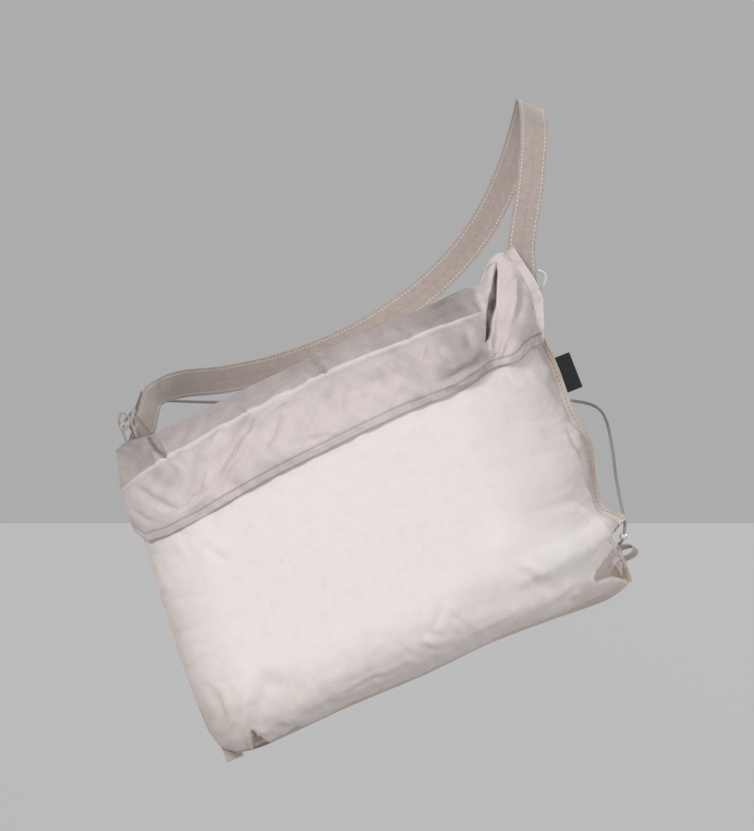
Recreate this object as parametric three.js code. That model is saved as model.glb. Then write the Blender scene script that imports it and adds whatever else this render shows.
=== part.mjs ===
// Cycling musette bag: a light shoulder bag worn high across the back, filled, with its flap folded over.
// Millimetres, +Z up, X across the wearer's back, -Y the outer side of the bag.
// The origin is the underside of the strap where it lies over the shoulder.

import * as THREE from 'three';
import { mergeVertices } from 'three/addons/utils/BufferGeometryUtils.js';

// Driving dimensions of the bag
const BAG_WIDTH = 349;
const BAG_HEIGHT = 253;
const FRONT_DEPTH = 72;
const BACK_DEPTH = 7;
const BAG_TILT = 21.5;
const BAG_CENTRE_X = -121.4;
const BAG_CENTRE_Z = -321;
const BAG_SEAM_Y = -80;
const BACK_CURVE_CENTRE_X = -118;
const BACK_CURVE_RADIUS = 450;
const CLOTH = 1.2;
const CLEARANCE = 0.3;
const SEAM_FLANGE = 6;

// How each side of the filled front rolls out of its seam
const LEFT_ROLL_SPAN = 46;
const LEFT_OVERHANG = 5;
const RIGHT_ROLL_SPAN = 84;
const BOTTOM_ROLL_SPAN = 48;
const BOTTOM_OVERHANG = 4;
const TOP_ROLL_SPAN = 62;
const SOFT_SLOPE = 1.45;
const CROWN = 0.12;

// Flap, mouth and the flap's tail sewn down behind the back panel
const MOUTH_DROP = 17;
const FLAP_DROP = 62;
const FLAP_LIFT = 3.1;
const FLAP_WING_LIFT = 3.6;
const FLAP_WING_START = 0.8;
const FLAP_TAIL = 14;
const FLAP_LEFT_INSET = 3;
const FLAP_LEFT_FLARE = 5;
const FLAP_FLARE_END = 0.16;
const FLAP_FLARE_FADE = 0.7;
const BACK_TOP_DROP = 5;

// Shoulder strap, slider and the webbing that holds the slider
const STRAP_WIDTH = 22;
const STRAP_THICKNESS = 1.2;
const STRAP_TAIL = 30;
const STRAP_SEWN = 34;
const STRAP_ALONG = 0.988;
const STATION_STEP = 11;
const ANCHOR_ALONG = 0.065;
const ANCHOR_SEWN = 22;
const ANCHOR_REACH = 20;
const TORSO_WIDTH = 344;
const TORSO_DEPTH = 228;
const SHOULDER_DROP = 253;
const SLIDER_BAR = 3;
const SLIDER_SLOT = 4.5;
const SLIDER_SIDE = 2.6;
const SLIDER_THICKNESS = 2.6;
const SLIDER_CORNER = 2.5;
const SLIDER_RUN = [-0.14, -0.8, -0.58];
const SLIDER_FACING = [-0.8, 0.44, -0.41];

// Small trim
const ELASTIC_DIAMETER = 2.5;
const RIGHT_LOOP_REACH = 17;
const RIGHT_LOOP_RISE = 20;
const RIGHT_LOOP_LEVEL = 0.17;
const LEFT_ELASTIC_DIAMETER = 2;
const LEFT_LOOP_RISE = 22;
const LEFT_LOOP_WIDTH = 9;
const LEFT_LOOP_ALONG = 0.055;
const LEFT_LOOP_FRONT = 4;
const LOOP_STEPS = 18;
const CORD_DIAMETER = 2.5;
const CORD_STEPS = 76;
const BEAD_DIAMETER = 6.4;
const BEAD_LENGTH = 4.4;
const BEAD_BORE = 4.1;
const TOGGLE_DIAMETER = 7;
const TOGGLE_LENGTH = 9;
const TOGGLE_BORE = 3.2;
const BARREL_END = 0.72;
const TAB_STANDOFF = 2;
const TAB_TAPE_WIDTH = 9;
const TAB_TAPE_THICKNESS = 1.1;
const TAB_REACH = 11;
const TAB_RISE = 8.5;
const TAB_LEVEL = 0.408;
const CORNER_TAPE_WIDTH = 14;
const CORNER_TAPE_SEWN = 14;
const CORNER_TAPE_OUT = 6;
const CORNER_TAPE_TURN = 1.6;
const CORNER_TAPE_ALONG = 0.02;
const LABEL_WIDTH = 18;
const LABEL_HEIGHT = 29;
const LABEL_THICKNESS = 0.9;
const LABEL_SEWN = 5;
const LABEL_LEVEL = 0.19;

// Outline of the panels. along: share of the width from the left seam. rise: share of the height.
const TOP_LINE = [
  { along: 0, rise: -0.05 },
  { along: 0.033, rise: -0.024 },
  { along: 0.11, rise: -0.03 },
  { along: 0.308, rise: -0.008 },
  { along: 0.486, rise: 0.008 },
  { along: 0.706, rise: 0.02 },
  { along: 0.852, rise: 0.03 },
  { along: 0.913, rise: 0.027 },
  { along: 0.956, rise: 0.083 },
  { along: 1, rise: 0.11 },
];
const BOTTOM_LINE = [
  { along: 0, rise: 0.012 },
  { along: 0.033, rise: -0.022 },
  { along: 0.085, rise: -0.032 },
  { along: 0.153, rise: -0.028 },
  { along: 0.305, rise: -0.015 },
  { along: 0.486, rise: -0.009 },
  { along: 0.65, rise: 0.006 },
  { along: 0.795, rise: 0.002 },
  { along: 0.924, rise: -0.006 },
  { along: 0.964, rise: 0.002 },
  { along: 1, rise: 0.02 },
];
// Side seams. up: share of the height from the bottom. out: share of the width, outwards.
const LEFT_LINE = [
  { up: 0, out: 0.01 },
  { up: 0.07, out: 0.022 },
  { up: 0.3, out: 0.021 },
  { up: 0.5, out: 0.014 },
  { up: 0.7, out: 0.003 },
  { up: 1, out: -0.006 },
];
const RIGHT_LINE = [
  { up: 0, out: -0.02 },
  { up: 0.1, out: -0.018 },
  { up: 0.145, out: -0.026 },
  { up: 0.17, out: 0.018 },
  { up: 0.2, out: 0.005 },
  { up: 0.225, out: -0.016 },
  { up: 0.297, out: -0.014 },
  { up: 0.4, out: 0.007 },
  { up: 0.515, out: -0.002 },
  { up: 0.65, out: 0 },
  { up: 0.773, out: -0.008 },
  { up: 0.9, out: 0 },
  { up: 1, out: 0 },
];
// Flap hem and right end. drop: share of FLAP_DROP. reach: share of the width past the right seam.
const HEM_LINE = [
  { along: 0, drop: 0.86 },
  { along: 0.05, drop: 1.2 },
  { along: 0.116, drop: 1.17 },
  { along: 0.29, drop: 1.1 },
  { along: 0.471, drop: 1.06 },
  { along: 0.64, drop: 1.04 },
  { along: 0.778, drop: 1.06 },
  { along: 0.895, drop: 0.97 },
  { along: 1, drop: 1.14 },
];
const FLAP_END_LINE = [
  { drop: 0, reach: 0.003 },
  { drop: 0.35, reach: 0.02 },
  { drop: 0.6, reach: 0.028 },
  { drop: 0.85, reach: 0.01 },
  { drop: 1, reach: -0.008 },
];

// Main folds. Ends are shares of half the width and half the height from the bag's centre,
// width is a share of the height and depth a share of FRONT_DEPTH, negative for a valley.
const FOLDS = [
  { fromU: 0.93, fromV: 0.25, toU: 0.97, toV: -0.6, width: 0.035, depth: -0.06 },
  { fromU: 0.8, fromV: 0.1, toU: 0.95, toV: -0.55, width: 0.05, depth: 0.05 },
  { fromU: 0.98, fromV: -0.68, toU: 0.78, toV: -0.93, width: 0.045, depth: -0.15 },
  { fromU: 0.96, fromV: -0.66, toU: 0.5, toV: -0.45, width: 0.06, depth: 0.06 },
  { fromU: 0.7, fromV: -0.86, toU: 0.3, toV: -0.72, width: 0.05, depth: -0.06 },
  { fromU: -0.88, fromV: -0.98, toU: -0.7, toV: -0.72, width: 0.04, depth: -0.08 },
  { fromU: -0.76, fromV: -0.98, toU: -0.62, toV: -0.8, width: 0.04, depth: -0.06 },
  { fromU: -0.95, fromV: 0.2, toU: -0.7, toV: 0.35, width: 0.04, depth: -0.05 },
  { fromU: 0.92, fromV: 1.15, toU: 0.735, toV: 0.63, width: 0.052, depth: -0.2 },
  { fromU: 0.99, fromV: 1.05, toU: 0.84, toV: 0.65, width: 0.045, depth: 0.1 },
  { fromU: 0.5, fromV: 0.9, toU: 0.66, toV: 0.66, width: 0.05, depth: 0.04 },
  { fromU: -0.38, fromV: 0.98, toU: -0.55, toV: 0.55, width: 0.045, depth: -0.03 },
];

// The strap's climb from the bag's edge up the back, as shares of the edge's own place
const STRAP_CLIMB = [
  { x: 0.2, y: 0.98, z: 0.62 },
  { x: -0.15, y: 0.86, z: 0.38 },
];

// The strap's way over the shoulder, down the chest and round the flank, as shares of the torso's
// width and depth and of the drop to the slider, with the way the webbing faces there.
const STRAP_ROUTE = [
  { across: 0.007, deep: -0.193, down: 0.08, facing: [0.2, -0.6, 0.75] },
  { across: 0, deep: 0, down: 0, facing: [0.406, 0, 0.914] },
  { across: -0.012, deep: 0.158, down: 0.063, facing: [0.35, 0.5, 0.75] },
  { across: -0.047, deep: 0.298, down: 0.213, facing: [0.25, 0.85, 0.45] },
  { across: -0.122, deep: 0.43, down: 0.403, facing: [0.15, 0.97, 0.15] },
  { across: -0.244, deep: 0.544, down: 0.577, facing: [0.1, 1, 0] },
  { across: -0.392, deep: 0.596, down: 0.711, facing: [0, 1, 0] },
  { across: -0.552, deep: 0.57, down: 0.802, facing: [-0.25, 0.97, 0] },
  { across: -0.698, deep: 0.456, down: 0.85, facing: [-0.6, 0.8, 0] },
  { across: -0.797, deep: 0.281, down: 0.866, facing: [-0.87, 0.45, 0] },
  { across: -0.846, deep: 0.105, down: 0.889, facing: [-1, 0.05, -0.05] },
];

// The stabiliser cord's route, in the same shares: from the lower right corner up the flank, round
// the chest and back to the toggle at the upper left corner.
const STABILISER_ROUTE = [
  { across: 0.1657, deep: -0.1807, down: 1.3814 },
  { across: 0.1831, deep: -0.1737, down: 1.3723 },
  { across: 0.1971, deep: -0.1675, down: 1.3632 },
  { across: 0.2055, deep: -0.1654, down: 1.3526 },
  { across: 0.2093, deep: -0.1632, down: 1.3375 },
  { across: 0.2122, deep: -0.1605, down: 1.3194 },
  { across: 0.2134, deep: -0.1544, down: 1.2964 },
  { across: 0.2093, deep: -0.1404, down: 1.2648 },
  { across: 0.2035, deep: -0.114, down: 1.2213 },
  { across: 0.1959, deep: -0.0614, down: 1.1542 },
  { across: 0.189, deep: 0, down: 1.0672 },
  { across: 0.1773, deep: 0.0877, down: 0.9802 },
  { across: 0.157, deep: 0.2368, down: 0.9368 },
  { across: 0.1076, deep: 0.4035, down: 0.917 },
  { across: 0.0174, deep: 0.5439, down: 0.9091 },
  { across: -0.1163, deep: 0.636, down: 0.9091 },
  { across: -0.2762, deep: 0.6754, down: 0.913 },
  { across: -0.436, deep: 0.6754, down: 0.917 },
  { across: -0.5959, deep: 0.6272, down: 0.9209 },
  { across: -0.7326, deep: 0.5175, down: 0.9209 },
  { across: -0.8256, deep: 0.3509, down: 0.917 },
  { across: -0.8721, deep: 0.193, down: 0.917 },
  { across: -0.8924, deep: 0.0702, down: 0.9289 },
  { across: -0.907, deep: -0.0219, down: 0.9506 },
  { across: -0.9215, deep: -0.1009, down: 0.9783 },
  { across: -0.923, deep: -0.1579, down: 0.9921 },
  { across: -0.9221, deep: -0.2206, down: 0.998 },
];
const BEAD_POINT = 4;

// Finishes, in the colours that the photograph shows
const FINISHES = {
  frontCloth: { colour: 0xece4e0, roughness: 0.75, metalness: 0 },
  taupeCloth: { colour: 0xc3b6b1, roughness: 0.72, metalness: 0 },
  webbing: { colour: 0xb9ada4, roughness: 0.85, metalness: 0 },
  paleTape: { colour: 0xd8cfc8, roughness: 0.8, metalness: 0 },
  elastic: { colour: 0xd6d2cf, roughness: 0.8, metalness: 0 },
  cord: { colour: 0x9d9b9a, roughness: 0.7, metalness: 0 },
  bead: { colour: 0xb4afab, roughness: 0.3, metalness: 0.4 },
  hardware: { colour: 0xb4afab, roughness: 0.48, metalness: 0 },
  label: { colour: 0x1d1c1e, roughness: 0.6, metalness: 0 },
};

const TILT = THREE.MathUtils.degToRad(BAG_TILT);
const HALF_WIDTH = BAG_WIDTH / 2;
const HALF_HEIGHT = BAG_HEIGHT / 2;
const SHEET_OFFSET = (CLOTH + CLEARANCE) / 2;
const TAIL_OFFSET = SHEET_OFFSET + CLOTH + CLEARANCE;
const STRAP_OFFSET = TAIL_OFFSET + (CLOTH + STRAP_THICKNESS) / 2 + 2 * CLEARANCE;

// Columns of the panels' meshes over the left roll, the middle and the right roll
const COLUMNS = { left: 6, middle: 16, right: 12 };

function material({ colour, roughness, metalness }) {
  return new THREE.MeshStandardMaterial({ color: colour, roughness, metalness });
}

// The value of a table at a place between its rows, on a smooth curve through them
function tableValue(table, key, column, place) {
  const last = table.length - 1;
  const x = THREE.MathUtils.clamp(place, table[0][key], table[last][key]);
  let i = 0;
  while (i < last - 1 && x > table[i + 1][key]) {
    i += 1;
  }
  const slope = (k) => {
    const a = table[Math.max(k - 1, 0)];
    const b = table[Math.min(k + 1, last)];
    return (b[column] - a[column]) / (b[key] - a[key]);
  };
  const span = table[i + 1][key] - table[i][key];
  const s = (x - table[i][key]) / span;
  const rest = 1 - s;
  return rest * rest * (1 + 2 * s) * table[i][column]
    + s * s * (3 - 2 * s) * table[i + 1][column]
    + s * rest * (rest * slope(i) - s * slope(i + 1)) * span;
}

// From the bag's own frame (u along its width, v up it, w out of its back) to the model's frame
function bagToModel(u, v, w) {
  const x = BAG_CENTRE_X + u * Math.cos(TILT) - v * Math.sin(TILT);
  const z = BAG_CENTRE_Z + u * Math.sin(TILT) + v * Math.cos(TILT);
  const curl = (x - BACK_CURVE_CENTRE_X) ** 2 / (2 * BACK_CURVE_RADIUS);
  return new THREE.Vector3(x, BAG_SEAM_Y + curl - w, z);
}

// A seam's roll: a quarter circle from the seam up to the full bulge, leaning out by the overhang
function edgeRoll(inward, edge) {
  const share = THREE.MathUtils.clamp((inward - edge.flange) / edge.span, 0, 1);
  const height = Math.sqrt(1 - (1 - share) ** 2);
  const lean = Math.sqrt(edge.overhang * edge.span / 2);
  return { height: height ** edge.slope, lean: lean * 2 * (1 - share) * height };
}

const LEFT_EDGE = { flange: SEAM_FLANGE, span: LEFT_ROLL_SPAN, overhang: LEFT_OVERHANG, slope: 1 };
const RIGHT_EDGE = { flange: SEAM_FLANGE, span: RIGHT_ROLL_SPAN, overhang: 0, slope: SOFT_SLOPE };
const BOTTOM_EDGE = { flange: SEAM_FLANGE, span: BOTTOM_ROLL_SPAN, overhang: BOTTOM_OVERHANG, slope: 1 };
const TOP_EDGE = { flange: 0, span: TOP_ROLL_SPAN, overhang: 0, slope: 1 };
const BACK_TOP_EDGE = { flange: FLAP_TAIL + SEAM_FLANGE, span: TOP_ROLL_SPAN, overhang: 0, slope: 1 };

function topLine(along) {
  return HALF_HEIGHT + BAG_HEIGHT * tableValue(TOP_LINE, 'along', 'rise', along);
}

function bottomLine(along) {
  return -HALF_HEIGHT + BAG_HEIGHT * tableValue(BOTTOM_LINE, 'along', 'rise', along);
}

// How far the folds lift the cloth at a place in the bag's frame
function foldLift(u, v) {
  let lift = 0;
  for (const fold of FOLDS) {
    const start = new THREE.Vector2(fold.fromU * HALF_WIDTH, fold.fromV * HALF_HEIGHT);
    const run = new THREE.Vector2(fold.toU * HALF_WIDTH, fold.toV * HALF_HEIGHT).sub(start);
    const from = new THREE.Vector2(u, v).sub(start);
    const share = THREE.MathUtils.clamp(from.dot(run) / run.lengthSq(), 0, 1);
    const distance = from.sub(run.multiplyScalar(share)).length() / (fold.width * BAG_HEIGHT);
    lift += fold.depth * FRONT_DEPTH * Math.exp(-distance * distance);
  }
  return lift;
}

// A place on the bag: across and up are millimetres from the left and bottom seams, leaning is 1
// where the cloth rolls out past its seams and 0 where it lies between them.
function filledBag(across, up, topEdge, leaning) {
  const along = across / BAG_WIDTH;
  const share = up / BAG_HEIGHT;
  const left = edgeRoll(across, LEFT_EDGE);
  const right = edgeRoll(BAG_WIDTH - across, RIGHT_EDGE);
  const bottom = edgeRoll(up, BOTTOM_EDGE);
  const top = edgeRoll(BAG_HEIGHT - up, topEdge);
  const wide = left.height * right.height;
  const tall = bottom.height * top.height;
  const leftOut = BAG_WIDTH * tableValue(LEFT_LINE, 'up', 'out', share);
  const rightOut = BAG_WIDTH * tableValue(RIGHT_LINE, 'up', 'out', share);
  const seamU = -HALF_WIDTH - leftOut + along * (BAG_WIDTH + leftOut + rightOut);
  const low = bottomLine(along);
  const seamV = low + share * (topLine(along) - low);
  const crown = 1 - CROWN * (1 - Math.sin(Math.PI * THREE.MathUtils.clamp(along, 0, 1)));
  return {
    u: seamU + leaning * (right.lean - left.lean) * tall,
    v: seamV - leaning * bottom.lean * wide,
    fullness: wide * tall * crown,
  };
}

// The filled front in the bag's frame, shared by the front panel and the flap that lies over it
function filledFront(across, up) {
  const place = filledBag(across, up, TOP_EDGE, 1);
  const lift = foldLift(place.u, place.v) * Math.sqrt(place.fullness);
  return new THREE.Vector3(place.u, place.v, SHEET_OFFSET + FRONT_DEPTH * place.fullness + lift);
}

function backSurface(across, up) {
  const place = filledBag(across, up, BACK_TOP_EDGE, 0);
  return bagToModel(place.u, place.v, -SHEET_OFFSET - BACK_DEPTH * place.fullness);
}

// Places along a panel, stretch by stretch. A curled stretch follows its quarter circle evenly:
// curl 1 crowds the places at its start, -1 at its end.
function placesThrough(stretches) {
  const places = [0];
  for (const { to, count, curl } of stretches) {
    const from = places[places.length - 1];
    for (let i = 1; i <= count; i += 1) {
      const turn = (Math.PI / 2) * (i / count);
      const eased = { 1: 1 - Math.cos(turn), 0: i / count, [-1]: Math.sin(turn) };
      places.push(from + (to - from) * eased[curl]);
    }
  }
  return places;
}

function placesAcross() {
  return placesThrough([
    { to: SEAM_FLANGE, count: 1, curl: 0 },
    { to: SEAM_FLANGE + LEFT_ROLL_SPAN, count: COLUMNS.left, curl: 1 },
    { to: BAG_WIDTH - SEAM_FLANGE - RIGHT_ROLL_SPAN, count: COLUMNS.middle, curl: 0 },
    { to: BAG_WIDTH - SEAM_FLANGE, count: COLUMNS.right, curl: -1 },
    { to: BAG_WIDTH, count: 1, curl: 0 },
  ]);
}

// The mesh data as one closed body whose faces point out
function closedBody(geometry) {
  geometry.deleteAttribute('normal');
  geometry.deleteAttribute('uv');
  const merged = mergeVertices(geometry, 1e-4);
  const position = merged.attributes.position;
  const index = merged.index.array;
  const corners = [0, 1, 2].map(() => new THREE.Vector3());
  const faces = [];
  let volume = 0;
  for (let i = 0; i < index.length; i += 3) {
    corners.forEach((corner, k) => corner.fromBufferAttribute(position, index[i + k]));
    const distinct = new Set([index[i], index[i + 1], index[i + 2]]).size === 3;
    if (distinct) {
      faces.push(index[i], index[i + 1], index[i + 2]);
      volume += corners[0].dot(corners[1].clone().cross(corners[2])) / 6;
    }
  }
  if (volume < 0) {
    faces.reverse();
  }
  merged.setIndex(faces);
  merged.computeVertexNormals();
  return merged;
}

// A cloth wall of even thickness round a grid of points, closed at its edges
function clothWall(grid, thickness) {
  const rows = grid.length;
  const columns = grid[0].length;
  const positions = [];
  for (const side of [0.5, -0.5]) {
    for (let r = 0; r < rows; r += 1) {
      for (let c = 0; c < columns; c += 1) {
        const alongRow = grid[r][Math.min(c + 1, columns - 1)].clone();
        alongRow.sub(grid[r][Math.max(c - 1, 0)]);
        const alongColumn = grid[Math.min(r + 1, rows - 1)][c].clone();
        alongColumn.sub(grid[Math.max(r - 1, 0)][c]);
        const normal = alongRow.cross(alongColumn).normalize();
        positions.push(...grid[r][c].clone().addScaledVector(normal, side * thickness).toArray());
      }
    }
  }
  const at = (side, r, c) => side * rows * columns + r * columns + c;
  const faces = [];
  const quad = (a, b, c, d) => faces.push(a, b, c, a, c, d);
  for (let r = 0; r < rows - 1; r += 1) {
    for (let c = 0; c < columns - 1; c += 1) {
      quad(at(0, r, c), at(0, r, c + 1), at(0, r + 1, c + 1), at(0, r + 1, c));
      quad(at(1, r, c), at(1, r + 1, c), at(1, r + 1, c + 1), at(1, r, c + 1));
    }
  }
  const rim = [];
  for (let c = 0; c < columns - 1; c += 1) {
    rim.push([0, c]);
  }
  for (let r = 0; r < rows - 1; r += 1) {
    rim.push([r, columns - 1]);
  }
  for (let c = columns - 1; c > 0; c -= 1) {
    rim.push([rows - 1, c]);
  }
  for (let r = rows - 1; r > 0; r -= 1) {
    rim.push([r, 0]);
  }
  rim.forEach(([r, c], i) => {
    const [nextR, nextC] = rim[(i + 1) % rim.length];
    quad(at(0, r, c), at(1, r, c), at(1, nextR, nextC), at(0, nextR, nextC));
  });
  const geometry = new THREE.BufferGeometry();
  geometry.setAttribute('position', new THREE.Float32BufferAttribute(positions, 3));
  geometry.setIndex(faces);
  return closedBody(geometry);
}

// A flat tape along stations, each with its centre and the way its width runs
function tape(stations, width, thickness) {
  const grid = stations.map(({ centre, across }) => [-0.5, 0.5].map((side) => (
    centre.clone().addScaledVector(across, side * width)
  )));
  return clothWall(grid, thickness);
}

// Stations along a smooth curve through points that each name the way the tape faces
function facingStations(points, step) {
  const curve = new THREE.CatmullRomCurve3(points.map((point) => point.centre), false, 'centripetal');
  const facing = new THREE.CatmullRomCurve3(points.map((point) => point.facing), false, 'centripetal');
  const stations = [];
  const last = points.length - 1;
  for (let i = 0; i < last; i += 1) {
    const length = points[i].centre.distanceTo(points[i + 1].centre);
    const count = Math.max(1, Math.round(length / step));
    for (let k = 0; k < count + (i === last - 1 ? 1 : 0); k += 1) {
      const t = (i + k / count) / last;
      const across = curve.getTangent(t).cross(facing.getPoint(t)).normalize();
      stations.push({ centre: curve.getPoint(t), across });
    }
  }
  return stations;
}

// A round cord along chosen points
function roundCord(points, diameter, steps) {
  const section = new THREE.Shape();
  const sides = 8;
  for (let i = 0; i < sides; i += 1) {
    const turn = (2 * Math.PI * i) / sides;
    const method = i === 0 ? 'moveTo' : 'lineTo';
    section[method](Math.cos(turn) * diameter / 2, Math.sin(turn) * diameter / 2);
  }
  section.closePath();
  const extrudePath = new THREE.CatmullRomCurve3(points, false, 'centripetal');
  return closedBody(new THREE.ExtrudeGeometry(section, { steps, extrudePath, bevelEnabled: false }));
}

// A bored barrel or bead round its own Y axis, with a rounded outside
function boredBarrel(diameter, length, bore) {
  const rings = 6;
  const profile = [new THREE.Vector2(bore / 2, -length / 2)];
  for (let i = 0; i <= rings; i += 1) {
    const turn = Math.PI * (i / rings - 0.5);
    const radius = (diameter / 2) * (BARREL_END + (1 - BARREL_END) * Math.cos(turn));
    profile.push(new THREE.Vector2(radius, (length / 2) * Math.sin(turn)));
  }
  profile.push(new THREE.Vector2(bore / 2, length / 2));
  profile.push(profile[0].clone());
  return closedBody(new THREE.LatheGeometry(profile, 12));
}

function namedMesh(name, geometry, meshMaterial) {
  const mesh = new THREE.Mesh(geometry, meshMaterial);
  mesh.name = name;
  return mesh;
}

function makeFrontPanel() {
  const columns = placesAcross();
  const rows = placesThrough([
    { to: SEAM_FLANGE, count: 1, curl: 0 },
    { to: SEAM_FLANGE + BOTTOM_ROLL_SPAN, count: 7, curl: 1 },
    { to: BAG_HEIGHT - TOP_ROLL_SPAN, count: 10, curl: 0 },
    { to: BAG_HEIGHT - MOUTH_DROP, count: 6, curl: 0 },
  ]);
  const grid = rows.map((up) => columns.map((across) => bagToModel(...filledFront(across, up))));
  return namedMesh('front_panel', clothWall(grid, CLOTH), material(FINISHES.frontCloth));
}

function makeBackPanel() {
  const columns = placesAcross();
  const rows = placesThrough([
    { to: SEAM_FLANGE, count: 1, curl: 0 },
    { to: SEAM_FLANGE + BOTTOM_ROLL_SPAN, count: 7, curl: 1 },
    { to: BAG_HEIGHT - TOP_ROLL_SPAN, count: 5, curl: 0 },
    { to: BAG_HEIGHT - BACK_TOP_DROP, count: 5, curl: 0 },
  ]);
  const grid = rows.map((up) => columns.map((across) => backSurface(across, up)));
  return namedMesh('back_panel', clothWall(grid, CLOTH), material(FINISHES.taupeCloth));
}

// The flap's cloth over the filled front, by its share across and its share up from the hem
function flapPoint(share, travel) {
  const hemDrop = FLAP_DROP * tableValue(HEM_LINE, 'along', 'drop', share);
  const drop = hemDrop * (1 - travel);
  const wing = Math.max(0, (share - FLAP_WING_START) / (1 - FLAP_WING_START));
  const reach = BAG_WIDTH * tableValue(FLAP_END_LINE, 'drop', 'reach', 1 - travel);
  const across = share * BAG_WIDTH + (1 - share) * FLAP_LEFT_INSET + wing * wing * reach;
  const probe = 0.5;
  const here = filledFront(across, BAG_HEIGHT - drop);
  const beside = filledFront(across + probe, BAG_HEIGHT - drop).sub(here);
  const below = filledFront(across, BAG_HEIGHT - drop - probe).sub(here);
  const normal = below.cross(beside).normalize();
  const flare = Math.max(0, 1 - share / FLAP_FLARE_END) * (1 - FLAP_FLARE_FADE * travel);
  here.x -= flare * FLAP_LEFT_FLARE;
  return here.addScaledVector(normal, FLAP_LIFT + wing * FLAP_WING_LIFT);
}

// The flap runs from its hem up the front, over the fold and a short way down behind the back panel
function makeFlap() {
  const columns = placesAcross().map((place) => place / BAG_WIDTH);
  const frontRows = placesThrough([{ to: 1, count: 9, curl: -1 }]);
  const turnRows = 3;
  const grid = frontRows.map((travel) => columns.map((share) => flapPoint(share, travel)));
  const fold = grid[grid.length - 1];
  for (let i = 1; i <= turnRows; i += 1) {
    const turn = (Math.PI / 2) * (i / turnRows);
    grid.push(fold.map((point) => new THREE.Vector3(
      point.x,
      point.y - FLAP_LIFT * (1 - Math.cos(turn)),
      point.z - (point.z + TAIL_OFFSET) * Math.sin(turn),
    )));
  }
  const tailDrop = FLAP_LIFT + FLAP_TAIL;
  grid.push(fold.map((point) => new THREE.Vector3(point.x, point.y - tailDrop, -TAIL_OFFSET)));
  const placed = grid.map((row) => row.map((point) => bagToModel(...point)));
  return namedMesh('flap', clothWall(placed, CLOTH), material(FINISHES.taupeCloth));
}

// The way the curved back faces, outwards from the wearer, at a place across it
function backFacing(x) {
  return new THREE.Vector3((x - BACK_CURVE_CENTRE_X) / BACK_CURVE_RADIUS, -1, 0).normalize();
}

// Where the slider sits, and the frame of its plate: run towards the bag, across its bars
function sliderFrame() {
  const run = new THREE.Vector3(...SLIDER_RUN).normalize();
  const across = run.clone().cross(new THREE.Vector3(...SLIDER_FACING)).normalize();
  const outward = across.clone().cross(run).normalize();
  const top = anchorPoint(0);
  const centre = top.clone().addScaledVector(run, -ANCHOR_REACH);
  return { centre, run, across, outward };
}

// A place on the anchor webbing, at a drop below the flap's fold at the upper left corner
function anchorPoint(drop) {
  const u = -HALF_WIDTH + ANCHOR_ALONG * BAG_WIDTH;
  return bagToModel(u, topLine(ANCHOR_ALONG) - drop, -STRAP_OFFSET);
}

const BAR_PITCH = SLIDER_BAR + SLIDER_SLOT;
const HAIRPIN_RADIUS = Math.hypot(SLIDER_BAR, SLIDER_THICKNESS) / 2 + CLEARANCE + STRAP_THICKNESS / 2;

// Stations of webbing that turns round one of the slider's end bars, from one side to the other
function hairpin(slider, end, startSide) {
  const count = 8;
  return Array.from({ length: count + 1 }, (_, i) => {
    const turn = Math.PI * (i / count);
    const inward = -end * Math.sin(turn) * HAIRPIN_RADIUS;
    const aside = startSide * Math.cos(turn) * HAIRPIN_RADIUS;
    const centre = slider.centre.clone()
      .addScaledVector(slider.run, end * BAR_PITCH + inward)
      .addScaledVector(slider.outward, aside);
    return { centre, across: slider.across };
  });
}

// A place given by its shares of the torso's width and depth and of the drop to the slider
function torsoPoint({ across, deep, down }) {
  return new THREE.Vector3(across * TORSO_WIDTH, deep * TORSO_DEPTH, -down * SHOULDER_DROP);
}

// A station's centre with the way webbing that lies on the bag's back faces there
function onBack(centre) {
  return { centre, facing: backFacing(centre.x) };
}

function makeStrap(slider) {
  const u = -HALF_WIDTH + STRAP_ALONG * BAG_WIDTH;
  const foldLevel = topLine(STRAP_ALONG);
  const start = bagToModel(u, foldLevel - STRAP_SEWN, -STRAP_OFFSET);
  const edge = bagToModel(u + STRAP_SEWN * Math.sin(TILT), foldLevel + CLOTH, -STRAP_OFFSET);
  const middle = start.clone().add(edge).multiplyScalar(0.5);
  const top = new THREE.Vector3(0, 0, STRAP_THICKNESS / 2);
  const points = [
    onBack(start),
    onBack(middle),
    onBack(edge),
    ...STRAP_CLIMB.map(({ x, y, z }) => onBack(edge.clone().multiply(new THREE.Vector3(x, y, z)))),
  ];
  for (const row of STRAP_ROUTE) {
    const facing = new THREE.Vector3(...row.facing).normalize();
    points.push({ centre: torsoPoint(row).add(top), facing });
  }
  const innerLeg = slider.centre.clone()
    .addScaledVector(slider.run, -BAR_PITCH - STRAP_TAIL)
    .addScaledVector(slider.outward, -CLEARANCE - STRAP_THICKNESS);
  points.push({ centre: innerLeg, facing: slider.outward });
  const stations = facingStations(points, STATION_STEP);
  stations.push(...hairpin(slider, -1, -1));
  const tailEnd = slider.centre.clone()
    .addScaledVector(slider.run, -BAR_PITCH - STRAP_TAIL)
    .addScaledVector(slider.outward, STRAP_THICKNESS);
  stations.push({ centre: tailEnd, across: slider.across });
  const geometry = tape(stations, STRAP_WIDTH, STRAP_THICKNESS);
  return namedMesh('shoulder_strap', geometry, material(FINISHES.webbing));
}

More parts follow.
